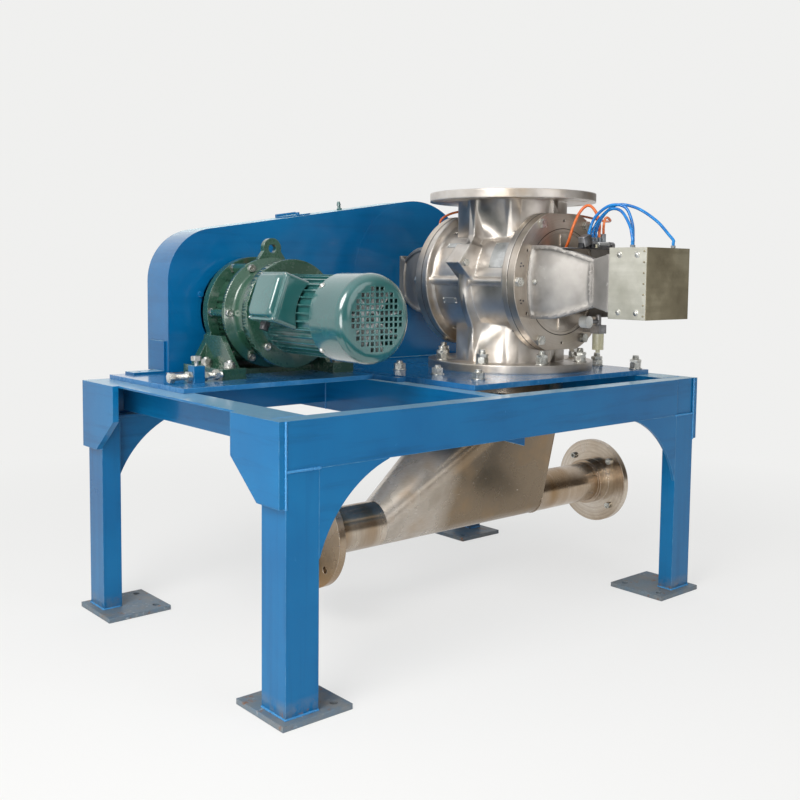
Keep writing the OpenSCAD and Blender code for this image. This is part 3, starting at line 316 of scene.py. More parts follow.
# the warm beige and brown tones of the bare steels are partly their own colour and partly painted reflection
# of dark brown surroundings
metals = {
    "castSteel": dict(base=(204, 198, 191), dark=(138, 130, 121), light=(238, 235, 230), rough=(0.28, 0.44),
                      metal=0.92, heat=(184, 164, 136), blast=0.00006, rounding=0.006, edgeLight=0.7),
    "yokeSteel": dict(base=(148, 145, 141), dark=(106, 101, 95), light=(192, 188, 183), rough=(0.44, 0.58),
                      metal=0.68, blast=0.00004, rounding=0.006, edgeLight=0.7, scratch=0.5),
    "turnedCover": dict(base=(206, 196, 184), dark=(152, 138, 122), light=(238, 232, 224), rough=(0.28, 0.46),
                        metal=0.9, rings=(1, valveAt, 700.0), groove=(0.148, 0.0011), edgeLight=0.9),
    # the shoe's last setting is painted shade: darker from about 751 to 821 mm along X on the drawing, and
    # beyond
    "shoeSteel": dict(base=(208, 200, 190), dark=(140, 126, 106), light=(236, 230, 222), rough=(0.20, 0.36),
                      metal=0.94, brush=(60, 60, 900), scratch=0.8, rounding=0.003, heat=(156, 130, 98),
                      blotch=2.2, fade=(-0.01, 0.06, (136, 120, 100))),
    "pipeSteel": dict(base=(208, 196, 180), dark=(128, 112, 94), light=(244, 238, 230), rough=(0.16, 0.30),
                      metal=0.94, rings=(0, pipeAt, 300.0), bands=((6, 1, 1), (150, 122, 88))),
    "plateSteel": dict(base=(196, 198, 198), dark=(166, 168, 166), light=(226, 228, 228), rough=(0.3, 0.42),
                       metal=0.8, brush=(900, 40, 40), blotch=20.0, scratch=0.4),
    "zincBright": dict(base=(206, 206, 200), dark=(150, 148, 140), light=(240, 240, 236), rough=(0.24, 0.38),
                       metal=0.9, blotch=40.0, rounding=0.0012, edgeLight=0.8),
    "boxSteel": dict(base=(204, 202, 190), dark=(176, 174, 160), light=(224, 222, 212), rough=(0.4, 0.5),
                     metal=0.7, brush=(3, 3, 60), blotch=9.0, blast=0.00002),
    "boxFront": dict(base=(150, 142, 118), dark=(120, 112, 90), light=(176, 170, 148), rough=(0.36, 0.5),
                     metal=0.8, brush=(5, 5, 70), blotch=7.0, blast=0.00002, scratch=0.5),
    "darkIron": dict(base=(92, 92, 94), dark=(52, 50, 48), light=(140, 140, 142), rough=(0.35, 0.55),
                     blast=0.00008, blotch=12.0),
    "groundShaft": dict(base=(180, 180, 182), dark=(140, 138, 136), light=(220, 220, 222), rough=(0.14, 0.24),
                        rings=(1, valveAt, 1200.0)),
    "manifoldAlloy": dict(base=(150, 150, 152), dark=(104, 102, 100), light=(200, 200, 202),
                          rough=(0.3, 0.45), metal=0.85, blotch=20.0),
}
plastics = {
    "sealRubber": dict(base=(34, 34, 36), light=(54, 54, 56), rough=0.6),
    "blackPlastic": dict(base=(26, 27, 30), light=(46, 48, 52), rough=0.38),
    "redPlastic": dict(base=(172, 24, 26), light=(206, 48, 44), rough=0.35),
    "greyPlastic": dict(base=(96, 102, 108), light=(136, 142, 146), rough=0.35),
    "blueTube": dict(base=(4, 98, 176), light=(26, 134, 206), rough=0.22),
    "orangeTube": dict(base=(200, 92, 38), light=(226, 124, 66), rough=0.25),
    "bowlPlastic": dict(base=(196, 190, 156), light=(222, 218, 196), rough=0.25),
    "gaugeWhite": dict(base=(214, 214, 208), light=(236, 236, 232), rough=0.3),
    "fanPlastic": dict(base=(238, 242, 240), light=(250, 250, 250), rough=0.4),
}
finishes = {}
for makeFinish, looks in ((paintMaterial, paints), (metalMaterial, metals), (plasticMaterial, plastics)):
    for name, look in looks.items():
        finishes[name] = makeFinish(name, **look)
wearing = {
    "legPaint": "legs",
    "beamPaint": "main_beams side_rails cross_beam corner_plates arch_gussets guard_brackets jack_block",
    "platePaint": "motor_plate valve_plate", "footPaint": "feet",
    "casingPaint": "guard_shell guard_back guard_hatch hatch_hinge guard_screws",
    "reducerPaint": "reducer_base reducer_case lifting_lug",
    "motorPaint": "motor_housing fan_cowl terminal_box terminal_cover guard_breather",
    "castSteel": "valve_body", "yokeSteel": "bearing_yokes", "turnedCover": "end_covers",
    "shoeSteel": "shoe", "pipeSteel": "pipe_ends pipe_flanges",
    "zincBright": "plate_bolts cover_bolts outlet_studs reducer_bolts motor_screws drive_bolts box_screws",
    "boxSteel": "sensor_box", "boxFront": "box_cover",
    "darkIron": "driven_sprocket drive_sprocket chain speed_disc bearings",
    "groundShaft": "rotor_shaft output_shaft motor_shaft rotor",
    "manifoldAlloy": "air_manifold air_regulator",
    "sealRubber": "shaft_seals", "blackPlastic": "cable_gland speed_sensor", "redPlastic": "filler_plug",
    "greyPlastic": "air_fittings", "blueTube": "blue_tubes", "orangeTube": "copper_tubes",
    "bowlPlastic": "regulator_bowl", "gaugeWhite": "pressure_gauge", "fanPlastic": "fan",
}
for finish, names in wearing.items():
    for name in names.split():
        for place in cad[name].material_slots:
            place.material = finishes[finish]
print("stage: finishes on", sum(len(v.split()) for v in wearing.values()), "nodes")


# Geometry Nodes
def linkObject(name, data):
    obj = bpy.data.objects.new(name, data)
    bpy.context.collection.objects.link(obj)
    return obj


def startTree(name, inputs):
    tree = bpy.data.node_groups.new(name, "GeometryNodeTree")
    ids = {}
    for label, kind in (("Geometry", "NodeSocketGeometry"), *inputs):
        ids[label] = tree.interface.new_socket(label, in_out="INPUT", socket_type=kind).identifier
    tree.interface.new_socket("Geometry", in_out="OUTPUT", socket_type="NodeSocketGeometry")
    return tree, ids, tree.nodes.new("NodeGroupInput"), tree.nodes.new("NodeGroupOutput")


def endTree(tree, made, finish, groupOut):
    real = addNode(tree, "GeometryNodeRealizeInstances", {0: made})
    worn = addNode(tree, "GeometryNodeSetMaterial", {"Geometry": real.outputs[0], "Material": finish})
    tree.links.new(worn.outputs[0], groupOut.inputs[0])


# small lumps strung along a line, like a weld
def weldTree():
    tree, ids, start, end = startTree("weldLumps", [
        ("Spacing", "NodeSocketFloat"), ("Lump", "NodeSocketFloat"), ("Seed", "NodeSocketInt"),
        ("Finish", "NodeSocketMaterial")])
    line = addNode(tree, "GeometryNodeMeshToCurve", {0: start.outputs[0]})
    steps = addNode(tree, "GeometryNodeResampleCurve",
                    {"Curve": line.outputs[0], "Length": start.outputs["Spacing"]}, mode="LENGTH")
    ball = addNode(tree, "GeometryNodeMeshIcoSphere", {"Radius": start.outputs["Lump"], "Subdivisions": 1})
    soft = addNode(tree, "GeometryNodeSetShadeSmooth", {"Geometry": ball.outputs[0]})
    size = addNode(tree, "FunctionNodeRandomValue",
                   {0: (0.75, 0.75, 0.75), 1: (1.2, 1.2, 1.2), "Seed": start.outputs["Seed"]},
                   data_type="FLOAT_VECTOR")
    drop = addNode(tree, "GeometryNodeInstanceOnPoints",
                   {"Points": steps.outputs[0], "Instance": soft.outputs[0], "Scale": size.outputs[0]})
    endTree(tree, drop.outputs[0], start.outputs["Finish"], end)
    return tree, ids


# one small part set at many places, each with its own turn
def placingTree():
    tree, ids, start, end = startTree("placedParts", [
        ("Part", "NodeSocketObject"), ("Size", "NodeSocketFloat"), ("Finish", "NodeSocketMaterial")])
    part = addNode(tree, "GeometryNodeObjectInfo", {"Object": start.outputs["Part"]})
    turn = addNode(tree, "GeometryNodeInputNamedAttribute", {"Name": "turn"}, data_type="QUATERNION")
    drop = addNode(tree, "GeometryNodeInstanceOnPoints",
                   {"Points": start.outputs[0], "Instance": part.outputs["Geometry"],
                    "Rotation": turn.outputs[0], "Scale": start.outputs["Size"]})
    endTree(tree, drop.outputs[0], start.outputs["Finish"], end)
    return tree, ids


weldLumps = weldTree()
placedParts = placingTree()


def growMesh(obj, treeAndIds, values):
    tree, ids = treeAndIds
    mod = obj.modifiers.new("grow", "NODES")
    mod.node_group = tree
    for label, value in values.items():
        mod[ids[label]] = value
    deps = bpy.context.evaluated_depsgraph_get()
    grown = bpy.data.meshes.new_from_object(obj.evaluated_get(deps), depsgraph=deps)
    obj.modifiers.clear()
    obj.data = grown
    return obj


def dress(obj, slotName, *replaced):
    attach(obj, "base")
    if replaced:
        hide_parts(*replaced)


def weldPiece(name, lines, lump, finish, slotName="frame_paint", seed=3):
    # lines: lists of points in the drawing's millimetres
    points, edges = [], []
    for line in lines:
        first = len(points)
        points += [spot(*p) for p in line]
        edges += [(first + i, first + i + 1) for i in range(len(line) - 1)]
    mesh = bpy.data.meshes.new(name)
    mesh.from_pydata(points, edges, [])
    values = {"Spacing": lump * 0.85 / 1000.0, "Lump": lump / 1000.0, "Seed": seed,
              "Finish": finishes[finish]}
    dress(growMesh(linkObject(name, mesh), weldLumps, values), slotName)


def finishMesh(work, name, finish, smoothAngle):
    bmesh.ops.remove_doubles(work, verts=work.verts, dist=1e-7)
    bmesh.ops.recalc_face_normals(work, faces=work.faces)
    mesh = bpy.data.meshes.new(name)
    work.to_mesh(mesh)
    work.free()
    mesh.materials.append(finishes[finish])
    mesh.shade_smooth()
    mesh.set_sharp_from_angle(angle=math.radians(smoothAngle))
    return linkObject(name, mesh)


def basePiece(work, name, finish, slotName, smoothAngle, *replaced):
    dress(finishMesh(work, name, finish, smoothAngle), slotName, *replaced)


def around(centre, radius, degrees, axis="y"):
    # a point on a circle round an axis through the centre
    turn = math.radians(degrees)
    a, b = radius * math.cos(turn), radius * math.sin(turn)
    offset = {"x": (0, a, b), "y": (a, 0, b), "z": (a, b, 0)}[axis]
    return tuple(c + o for c, o in zip(centre, offset))


# walls from ring to ring, and a face at each end
def skinRings(work, rings):
    for low, high in zip(rings, rings[1:]):
        for i in range(len(low)):
            work.faces.new((low[i], low[(i + 1) % len(low)], high[(i + 1) % len(low)], high[i]))
    work.faces.new(list(reversed(rings[0])))
    work.faces.new(rings[-1])


# turned shape about +Z from (radius, height) pairs in mm
def lathe(work, profile, steps, place=Matrix.Identity(4), reach=None):
    rings = []
    for radius, height in profile:
        ring = []
        for i in range(steps):
            angle = 2 * math.pi * i / steps
            wide, tall = (radius, height) if reach is None else reach(radius, height, angle)
            point = Vector((wide * math.cos(angle), wide * math.sin(angle), tall)) / 1000
            ring.append(work.verts.new(place @ point))
        rings.append(ring)
    skinRings(work, rings)


def hexNut(work, flats, low, high, place=Matrix.Identity(4), chamferBelow=True):
    half = flats / 2.0

    def reach(radius, height, angle):
        span = ((angle + math.pi / 6) % (math.pi / 3)) - math.pi / 6
        corner = half / math.cos(span)
        if radius > 0:  # the flats, their ends cut back by the chamfer
            cut = max(0.0, corner - half * 0.98) * 0.62
            if height > (low + high) / 2:
                return corner, height - cut
            return corner, height + (cut if chamferBelow else 0)
        return -radius, height
    rows = [(-half * 0.97, low), (1, low), (1, high), (-half * 0.97, high)]
    lathe(work, rows, 24, place, reach)


def thread(radius, low, high, pitch=2.5):
    rows = [(radius * 0.6, low), (radius * 0.86, low)]
    turns = int((high - low - 2.0) / pitch)
    for i in range(turns):
        rows += [(radius, low + pitch * (i + 0.35)), (radius, low + pitch * (i + 0.5)),
                 (radius * 0.87, low + pitch * (i + 0.95))]
    return rows + [(radius * 0.9, high - 1.2), (radius * 0.7, high)]


def turnTo(direction, spin):
    turn = Vector((0, 0, 1)).rotation_difference(Vector(direction))
    return turn @ Quaternion((0, 0, 1), math.radians(spin))


def looseParts(name, part, spots, finish="zincBright"):
    # spots: (drawing point, direction of the part's +Z, spin in degrees)
    mesh = bpy.data.meshes.new(name)
    mesh.from_pydata([spot(*point) for point, direction, spin in spots], [], [])
    turns = mesh.attributes.new("turn", "QUATERNION", "POINT")
    for i, (point, direction, spin) in enumerate(spots):
        turns.data[i].value = turnTo(direction, spin)
    values = {"Part": part, "Size": 1.0, "Finish": finishes[finish]}
    return growMesh(linkObject(name, mesh), placedParts, values)


def placeParts(name, part, spots, finish, slotName, *replaced):
    dress(looseParts(name, part, spots, finish), slotName, *replaced)


def joined(name, objs, slotName, *replaced):
    work = bmesh.new()
    for obj in objs:
        work.from_mesh(obj.data)
    mesh = objs[0].data.copy()
    mesh.name = name
    work.to_mesh(mesh)
    work.free()
    made = linkObject(name, mesh)
    for obj in objs:
        bpy.data.objects.remove(obj)
    dress(made, slotName, *replaced)


# air tubes, mm; fitTop and boxTop are where the fittings end
tubes = {"radius": 4.0, "longRadius": 3.5, "steps": 10, "fitTop": 996.0, "boxTop": 973.0}


def smoothRoute(points, steps):
    # the same curve through the same points as the solid's
    last = len(points) - 1

    def pick(i):
        return Vector(points[max(0, min(last, i))])
    route = []
    for i in range(last):
        for j in range(steps):
            u = j / steps
            route.append(0.5 * (2 * pick(i) + (pick(i + 1) - pick(i - 1)) * u
                                + (2 * pick(i - 1) - 5 * pick(i) + 4 * pick(i + 1) - pick(i + 2)) * u * u
                                + (3 * pick(i) - pick(i - 1) - 3 * pick(i + 1) + pick(i + 2)) * u ** 3))
    return route + [pick(last)]


def tubePiece(name, points, radius, finish, slotName, node):
    route = [spot(*p) for p in smoothRoute(points, tubes["steps"])]
    curve = bpy.data.curves.new(name, "CURVE")
    curve.dimensions = "3D"
    curve.bevel_depth = radius / 1000.0
    curve.bevel_resolution = 4
    curve.use_fill_caps = True
    line = curve.splines.new("POLY")
    line.points.add(len(route) - 1)
    for point, place in zip(line.points, route):
        point.co = (*place, 1.0)
    curve.materials.append(finishes[finish])
    obj = linkObject(name, curve)
    dress(obj, slotName, node)
    length = sum((b - a).length for a, b in zip(route, route[1:]))
    return length


def tubeRoutes(top, box, front, back):
    def up(points):  # heights from the valve's axis
        return [(x, y, valve["z"] + z) for x, y, z in points]

    def lead(x):
        return [(x, 130, top), (x, 130, top + 7), (x, 130, top + 16)]

    def land(x, y, h):
        return [(x, y, box + h), (x, y, box + 7), (x, y, box)]
    return {
        "tubeBlueA": lead(1082) + up([(1084, 112, 176), (1092, 72, 204), (1102, 30, 198), (1104, 8, 156)])
        + land(1096, -2, 16),
        "tubeBlueB": lead(1096) + up([(1098, 112, 168), (1098, 76, 194), (1090, 34, 188), (1074, -6, 150)])
        + land(1066, -22, 16),
        "tubeBlueC": lead(1110) + up([(1110, 108, 178), (1112, 66, 206), (1136, 20, 198), (1164, -24, 164),
                                      (1180, -54, 126)]) + land(1184, -64, 14),
        "tubeCopperA": up([(1085, front - 9, 88), (1085, front - 15, 88), (1085, front - 24, 90),
                           (1085, 204, 112), (1086, 190, 150), (1090, 174, 186), (1100, 160, 206),
                           (1112, 150, 206), (1121, 138, 186)])
        + [(1124, 130, top + 34), (1124, 130, top + 14), (1124, 130, top)],
        "tubeCopperB": up([(1050, back + 9, 111), (1050, back + 15, 111), (1050, back + 24, 111),
                           (1040, 668, 142), (1040, 668, 184), (1080, 640, 208), (1170, 626, 210),
                           (1270, 560, 210), (1310, 450, 206), (1292, 330, 194), (1240, 210, 174),
                           (1196, 150, 170), (1164, 136, 178), (1147, 131, 170)])
        + [(1142, 130, top + 28), (1142, 130, top + 18), (1142, 130, top + 10)],
    }


tubeLengths = {}
for tubeName, points in tubeRoutes(tubes["fitTop"], tubes["boxTop"], valve["front"], valve["back"]).items():
    radius = tubes["longRadius" if tubeName == "tubeCopperB" else "radius"]
    kind = ("blueTube", "blue_tube", "blue_tubes") if "Blue" in tubeName else (
        "orangeTube", "orange_tube", "copper_tubes")
    tubeLengths[tubeName] = tubePiece(tubeName, points, radius, *kind)
print("stage: tubes", {k: round(v, 3) for k, v in tubeLengths.items()})

# studs, nuts and screws
fasteners = {
    "plate": {"radius": 10.0, "tip": 26.0, "seat": 622.0, "under": 608.0,
              "at": [(772, 232), (772, 388), (772, 545)]},
    "tall": {"seat": 622.0, "under": 603.0, "at": [(1358, 170), (1350, 305)]},
    "outlet": {"radius": 10.0, "tip": 40.0, "seat": 646.0, "ring": 214.0, "count": 8},
    "foot": {"radius": 8.0, "flats": 24.0, "washer": 2.4, "nut": 15.2, "tip": 20.4, "seat": 648.0,
             "at": [(268, 626), (268, 745), (612, 626), (612, 745)]},
    "cover": {"radius": 8.0, "flats": 22.0, "head": 10.2, "ring": 184.0, "count": 6},
}


def studPart(name, radius, tip, double=False):
    work = bmesh.new()
    washer, washerTop, nutTop = radius * 1.9, radius * 0.3, radius * 1.9
    lathe(work, [(radius, 0.05), (radius * 1.86, 0.05), (washer, 0.6), (washer, radius * 0.22),
                 (radius * 1.84, washerTop), (radius, washerTop)], 32)
    hexNut(work, radius * 3.0, washerTop, nutTop)
    if double:  # a thin lock nut on top
        top = nutTop + radius * 0.95
        hexNut(work, radius * 3.0, nutTop + 0.1, top, Matrix.Rotation(0.35, 4, "Z"))
        nutTop = top
    lathe(work, thread(radius, nutTop - 2.0, tip), 20)
    return finishMesh(work, name, "zincBright", 30)


def boltPart(name, radius, flats, head):
    work = bmesh.new()
    collar = 1.6
    lathe(work, [(radius * 0.9, 0.0), (flats * 0.56, 0.0), (flats * 0.58, 0.5), (flats * 0.58, 1.2),
                 (flats * 0.55, collar), (radius * 0.9, collar)], 32)
    hexNut(work, flats, collar, head, chamferBelow=False)
    return finishMesh(work, name, "zincBright", 30)


# spots for studs that stand up, each turned on from the last, and for heads that hang below
def upright(group, spin):
    return [((x, y, group["seat"]), (0, 0, 1), spin * i) for i, (x, y) in enumerate(group["at"])]


def hanging(group, spin):
    return [((x, y, group["under"]), (0, 0, -1), spin) for x, y in group["at"]]


plate, tall, outlet, foot, cover = (fasteners[k] for k in ("plate", "tall", "outlet", "foot", "cover"))
studBig = studPart("studBig", plate["radius"], plate["tip"])
studTall = studPart("studTall", outlet["radius"], outlet["tip"], double=True)
boltHead = boltPart("boltHead", cover["radius"], cover["flats"], cover["head"])

plateNuts = looseParts("plateNuts", studBig, upright(plate, 17))
underHeads = looseParts("underHeads", boltHead, hanging(plate, 0) + hanging(tall, 40))
tallNuts = looseParts("tallNuts", studTall, upright(tall, 31))
joined("plateBolting", [plateNuts, tallNuts, underHeads], "zinc", "plate_bolts")
seatCentre = (valve["x"], valve["y"], outlet["seat"])
outletStep, coverStep = 360 / outlet["count"], 360 / cover["count"]
placeParts("outletStuds", studTall, [
    (around(seatCentre, outlet["ring"], outletStep * (i + 0.5), "z"), (0, 0, 1), 23 * i)
    for i in range(outlet["count"])], "zincBright", "zinc", "outlet_studs")
coverSides = ((valve["front"], -1), (valve["back"], 1))
placeParts("coverHeads", boltHead, [
    (around((valve["x"], y, valve["z"]), cover["ring"], coverStep * i), (0, side, 0), 9 * i)
    for y, side in coverSides for i in range(cover["count"])], "zincBright", "zinc")
print("stage: studs and nuts")


def placeAt(point, direction, spin=0.0):
    return Matrix.Translation(spot(*point)) @ turnTo(direction, spin).to_matrix().to_4x4()


def capPart(name, radius, high, socket, finish="zincBright"):
    # round head with a socket in its face
    work = bmesh.new()
    lathe(work, [(radius * 0.9, 0.0), (radius, 0.4), (radius, high - radius * 0.14), (radius * 0.88, high),
                 (socket * 1.12, high), (socket, high - 0.6), (socket * 0.98, high * 0.4)], 24)
    return finishMesh(work, name, finish, 35)


def domePart(name, radius, high, washer):
    # round head on a thin washer
    work = bmesh.new()
    rim = 1.2
    lathe(work, [(washer * 0.97, 0.0), (washer, 0.3), (washer, 0.9), (washer * 0.93, rim), (radius, rim),
                 (radius * 0.97, rim + high * 0.45), (radius * 0.74, rim + high * 0.85),
                 (radius * 0.3, rim + high)], 20)
    return finishMesh(work, name, "zincBright", 50)


# radius and height, then the socket's radius or the washer's
heads = {"cap": (9.4, 10.0, 5.0), "screw": (5.5, 3.8, 8.0), "rivet": (2.2, 1.0, 2.4),
         "collet": (5.6, 3.4, 4.1)}
capHead = capPart("capHead", *heads["cap"])
screwHead = domePart("screwHead", *heads["screw"])
rivet = domePart("rivet", *heads["rivet"])
collet = capPart("collet", *heads["collet"], "blackPlastic")

# the drive: hold-down studs, jack screw and its nuts
jack = {"y": 600.0, "z": 636.0, "from": 82.0, "to": 231.0, "nuts": (130.0, 173.2, 206.0), "flats": 24.0,
        "radius": 8.0, "pitch": 3.0, "head": 13.0, "nut": 12.8, "post": (158.0, 600.0, 662.0),
        "postRadius": 6.0, "postNut": (12.0, 24.0)}


def onJack(x, spin=0.0):
    return placeAt((x, jack["y"], jack["z"]), (1, 0, 0), spin)


driveWork = bmesh.new()
for i, (x, y) in enumerate(foot["at"]):
    here = placeAt((x, y, foot["seat"]), (0, 0, 1), 19 * i)
    lathe(driveWork, [(15.0, 0.05), (15.2, 0.5), (15.2, 2.0), (14.8, foot["washer"])], 32, here)
    hexNut(driveWork, foot["flats"], foot["washer"], foot["nut"], here)
    lathe(driveWork, thread(foot["radius"], 13.0, foot["tip"]), 20, here)
jackThread = thread(jack["radius"], 6.0, jack["to"] - jack["from"], jack["pitch"])
lathe(driveWork, jackThread, 20, onJack(jack["from"]))
hexNut(driveWork, jack["flats"], 0.0, jack["head"], onJack(jack["from"], 8), False)
for i, x in enumerate(jack["nuts"]):
    hexNut(driveWork, jack["flats"], 0.0, jack["nut"], onJack(x, 17 * i))
post = placeAt(jack["post"], (0, 0, 1), 12)
lathe(driveWork, thread(jack["postRadius"], 0.0, jack["postNut"][0] + 1.0), 20, post)
hexNut(driveWork, jack["flats"], *jack["postNut"], post)
basePiece(driveWork, "driveBolting", "zincBright", "zinc", 30, "drive_bolts")

# motor: flange screws, cowl screws and lid screws
drive = {"x": 440.0, "z": 785.0, "flange": 118.0, "flangeFace": 591.0, "cowl": 110.0, "cowlScrews": 357.0,
         "lean": -71.0, "lidMiddle": 487.0, "lidScrews": (57.0, 52.0, 157.2)}
quarters = (45, 135, 225, 315)
corners = ((1, 1), (1, -1), (-1, 1), (-1, -1))
terminal = Matrix.Translation(spot(drive["x"], drive["lidMiddle"], drive["z"])) @ Matrix.Rotation(
    math.radians(drive["lean"]), 4, "Y")


def aroundDrive(radius, angle, y):
    return around((drive["x"], y, drive["z"]), radius, angle)


def onTerminal(x, y, z):
    place = terminal @ (Vector((x, y, z)) / 1000.0)
    return tuple(place * 1000.0 + machineZero)


lidOut = tuple(terminal.to_3x3() @ Vector((0, 0, 1)))
lidX, lidY, lidZ = drive["lidScrews"]
flangeCaps = looseParts("flangeCaps", capHead, [
    (aroundDrive(drive["flange"], a, drive["flangeFace"]), (0, -1, 0), a) for a in quarters])
cowlCaps = looseParts("cowlCaps", screwHead, [
    (aroundDrive(drive["cowl"], a, drive["cowlScrews"]), around((0, 0, 0), 1, a), 0) for a in quarters])
lidCaps = looseParts("lidCaps", rivet, [
    (onTerminal(lidX * x, lidY * y, lidZ), lidOut, 0) for x, y in corners])
joined("motorHeads", [flangeCaps, cowlCaps, lidCaps], "zinc", "motor_screws")

# pressed terminal lid with soft corners
lid = {"rings": [(126, 116, 12, 148), (126, 116, 12, 155), (123, 113, 12, 157.2), (113, 103, 13, 158.4),
                 (110, 100, 14, 162), (107, 97, 15, 167), (101, 91, 15, 170.4), (94, 84, 13, 171.8),
                 (86, 76, 10, 172)]}


def roundedLoft(work, rings, place, steps=6):
    rows = []
    for wide, deep, corner, high in rings:
        row = []
        for quarter, (sx, sy) in enumerate(((1, 1), (-1, 1), (-1, -1), (1, -1))):
            for i in range(steps + 1):
                angle = math.radians(90 * quarter + 90 * i / steps)
                point = Vector((sx * (wide / 2 - corner) + corner * math.cos(angle),
                                sy * (deep / 2 - corner) + corner * math.sin(angle), high)) / 1000.0
                row.append(work.verts.new(place @ point))
        rows.append(row)
    skinRings(work, rows)


lidWork = bmesh.new()
roundedLoft(lidWork, lid["rings"], terminal)
basePiece(lidWork, "terminalLid", "motorPaint", "motor_paint", 40, "terminal_cover")

# bare plates on the drum, their rivets, and spot welds along the box
plates = {"rating": {"y": (307, 362), "angles": (142.5, 167.5), "inset": 1.4},
          "tag": {"y": (493, 549), "angles": (196, 202.2), "inset": 1.2},
          "upper": {"y": (503, 557), "angles": (142.2, 146.8), "inset": 1.2}}
drum = {"radius": 176.0, "gap": 0.1, "plate": 0.9, "steps": 10, "rivetIn": 4}


def onDrum(radius, angle, y):
    return around((valve["x"], y, valve["z"]), radius, angle)


plateWork = bmesh.new()
rivetSpots = []
low, high = drum["radius"] + drum["gap"], drum["radius"] + drum["plate"]
for one in plates.values():
    (near, far), (start, end), inset = one["y"], one["angles"], one["inset"]
    rows = []
    for i in range(drum["steps"] + 1):
        angle = start + (end - start) * i / drum["steps"]
        rows.append([plateWork.verts.new(spot(*onDrum(r, angle, y)))
                     for r, y in ((low, near), (low, far), (high, far), (high, near))])
    skinRings(plateWork, rows)
    for angle in (start + inset, end - inset):
        for y in (near + drum["rivetIn"], far - drum["rivetIn"]):
            rivetSpots.append((onDrum(high, angle, y), around((0, 0, 0), 1, angle), 0))
basePiece(plateWork, "barePlates", "plateSteel", "stainless", 30)
placeParts("plateRivets", rivet, rivetSpots, "zincBright", "stainless")

box = {"half": 91.0, "screwY": (-20.0, -74.0), "screwZ": (-73.0, 73.0), "dotY": -95.0, "pitch": 27.0,
       "dots": 3}


def onBox(side, y, z):
    return ((valve["x"] + side * box["half"], y, valve["z"] + z), (side, 0, 0), 0)


placeParts("boxHeads", screwHead, [onBox(side, y, z) for side in (1, -1) for y in box["screwY"]
                                   for z in box["screwZ"]], "zincBright", "zinc", "box_screws")
placeParts("boxSpotWelds", rivet, [onBox(side, box["dotY"], box["pitch"] * i) for side in (1, -1)
                                   for i in range(-box["dots"], box["dots"] + 1)], "boxFront", "sheet_steel")

# end covers: gaskets, and three dark marks in each jacking hole, painted shade of small holes
covers = {"round": 200.7, "flat": 189.7, "thick": 25.0, "gasket": 0.7, "steps": 96, "holeRing": 174.0,
          "holes": (165.0, 197.0, 15.0, -17.0), "marks": ((6.0, -1.2), (6.0, 1.6), (-4.0, 0.3))}
gasketWork = bmesh.new()
for y in (valve["front"] + covers["thick"], valve["back"] - covers["thick"]):
    rows = []
    for side in (-covers["gasket"], covers["gasket"]):
        row = []
        for i in range(covers["steps"]):
            turn = 2 * math.pi * i / covers["steps"]
            high = max(-covers["flat"], min(covers["flat"], covers["round"] * math.sin(turn)))
            row.append(gasketWork.verts.new(spot(valve["x"] + covers["round"] * math.cos(turn), y + side,
                                                 valve["z"] + high)))
        rows.append(row)
    skinRings(gasketWork, rows)
basePiece(gasketWork, "coverGaskets", "sealRubber", "seal_rubber", 30)
# three dark marks per jacking hole: painted shade where small holes are
placeParts("jackScrews", rivet, [(onDrum(covers["holeRing"] + out, angle + turn, y), (0, side, 0), 0)
                                 for y, side in coverSides for angle in covers["holes"]
                                 for out, turn in covers["marks"]],
           "darkIron", "dark_steel")

# screws in the far pipe flange
pipeScrews = {"x": 1505.0, "ring": 100.0}
placeParts("pipeScrews", capHead, [
    (around((pipeScrews["x"], pipe["y"], pipe["z"]), pipeScrews["ring"], a, "x"), (-1, 0, 0), a)
    for a in quarters], "zincBright", "zinc")

# valves and push-in collars on the air manifold and the box
air = {"blocks": [((1052, 120, 985), (30, 22, 28), -18, "manifoldAlloy"),
                  ((1040, 121, 972), (12, 16, 14), 0, "blackPlastic"),
                  ((1074, 112, 972), (10, 12, 12), 0, "blackPlastic"),
                  ((1086, 112, 971), (8, 10, 9), 0, "bowlPlastic")],
       "bar": {"from": (1094, 110, 977), "long": 44.0, "radius": 6.2, "rim": 1.2},
       "topCollars": [(1082, 130), (1096, 130), (1110, 130), (1124, 130)],
       "boxCollars": [(1096, -2), (1066, -22), (1184, -64)], "collar": 3.2}


def softBox(work, centre, size, lean):
    place = Matrix.Translation(spot(*centre)) @ Matrix.Rotation(math.radians(lean), 4, "Y")
    wide, deep, half, bevel = size[0], size[1], size[2] / 2, 1.6
    roundedLoft(work, [(wide - 2, deep - 2, bevel, -half), (wide, deep, bevel, 1 - half),
                       (wide, deep, bevel, half - 1), (wide - 2, deep - 2, bevel, half)], place, 2)


for i, (centre, size, lean, finish) in enumerate(air["blocks"]):
    blockWork = bmesh.new()
    softBox(blockWork, centre, size, lean)
    basePiece(blockWork, "airBlock" + str(i), finish, "manifold_metal", 40)
bar = air["bar"]
barWork = bmesh.new()
lathe(barWork, [(bar["radius"] * 0.8, 0.0), (bar["radius"], bar["rim"]),
                (bar["radius"], bar["long"] - bar["rim"]), (bar["radius"] * 0.8, bar["long"])], 24,
      placeAt(bar["from"], (1, 0, 0)))
basePiece(barWork, "airBar", "plateSteel", "manifold_metal", 40)
collarSpots = [((x, y, tubes[top] - air["collar"]), (0, 0, 1), 0)
               for group, top in (("topCollars", "fitTop"), ("boxCollars", "boxTop")) for x, y in air[group]]
placeParts("tubeCollars", collet, collarSpots, "blackPlastic", "black_plastic")
print("stage: details")

# welds on the frame
frameSizes = {"length": 1416, "width": 916, "top": 608, "legTop": 508, "post": 80, "flange": 43, "end": 16,
              "foot": 12.5, "endPlate": 436, "legReach": 98, "under": 2, "lump": 3.2}


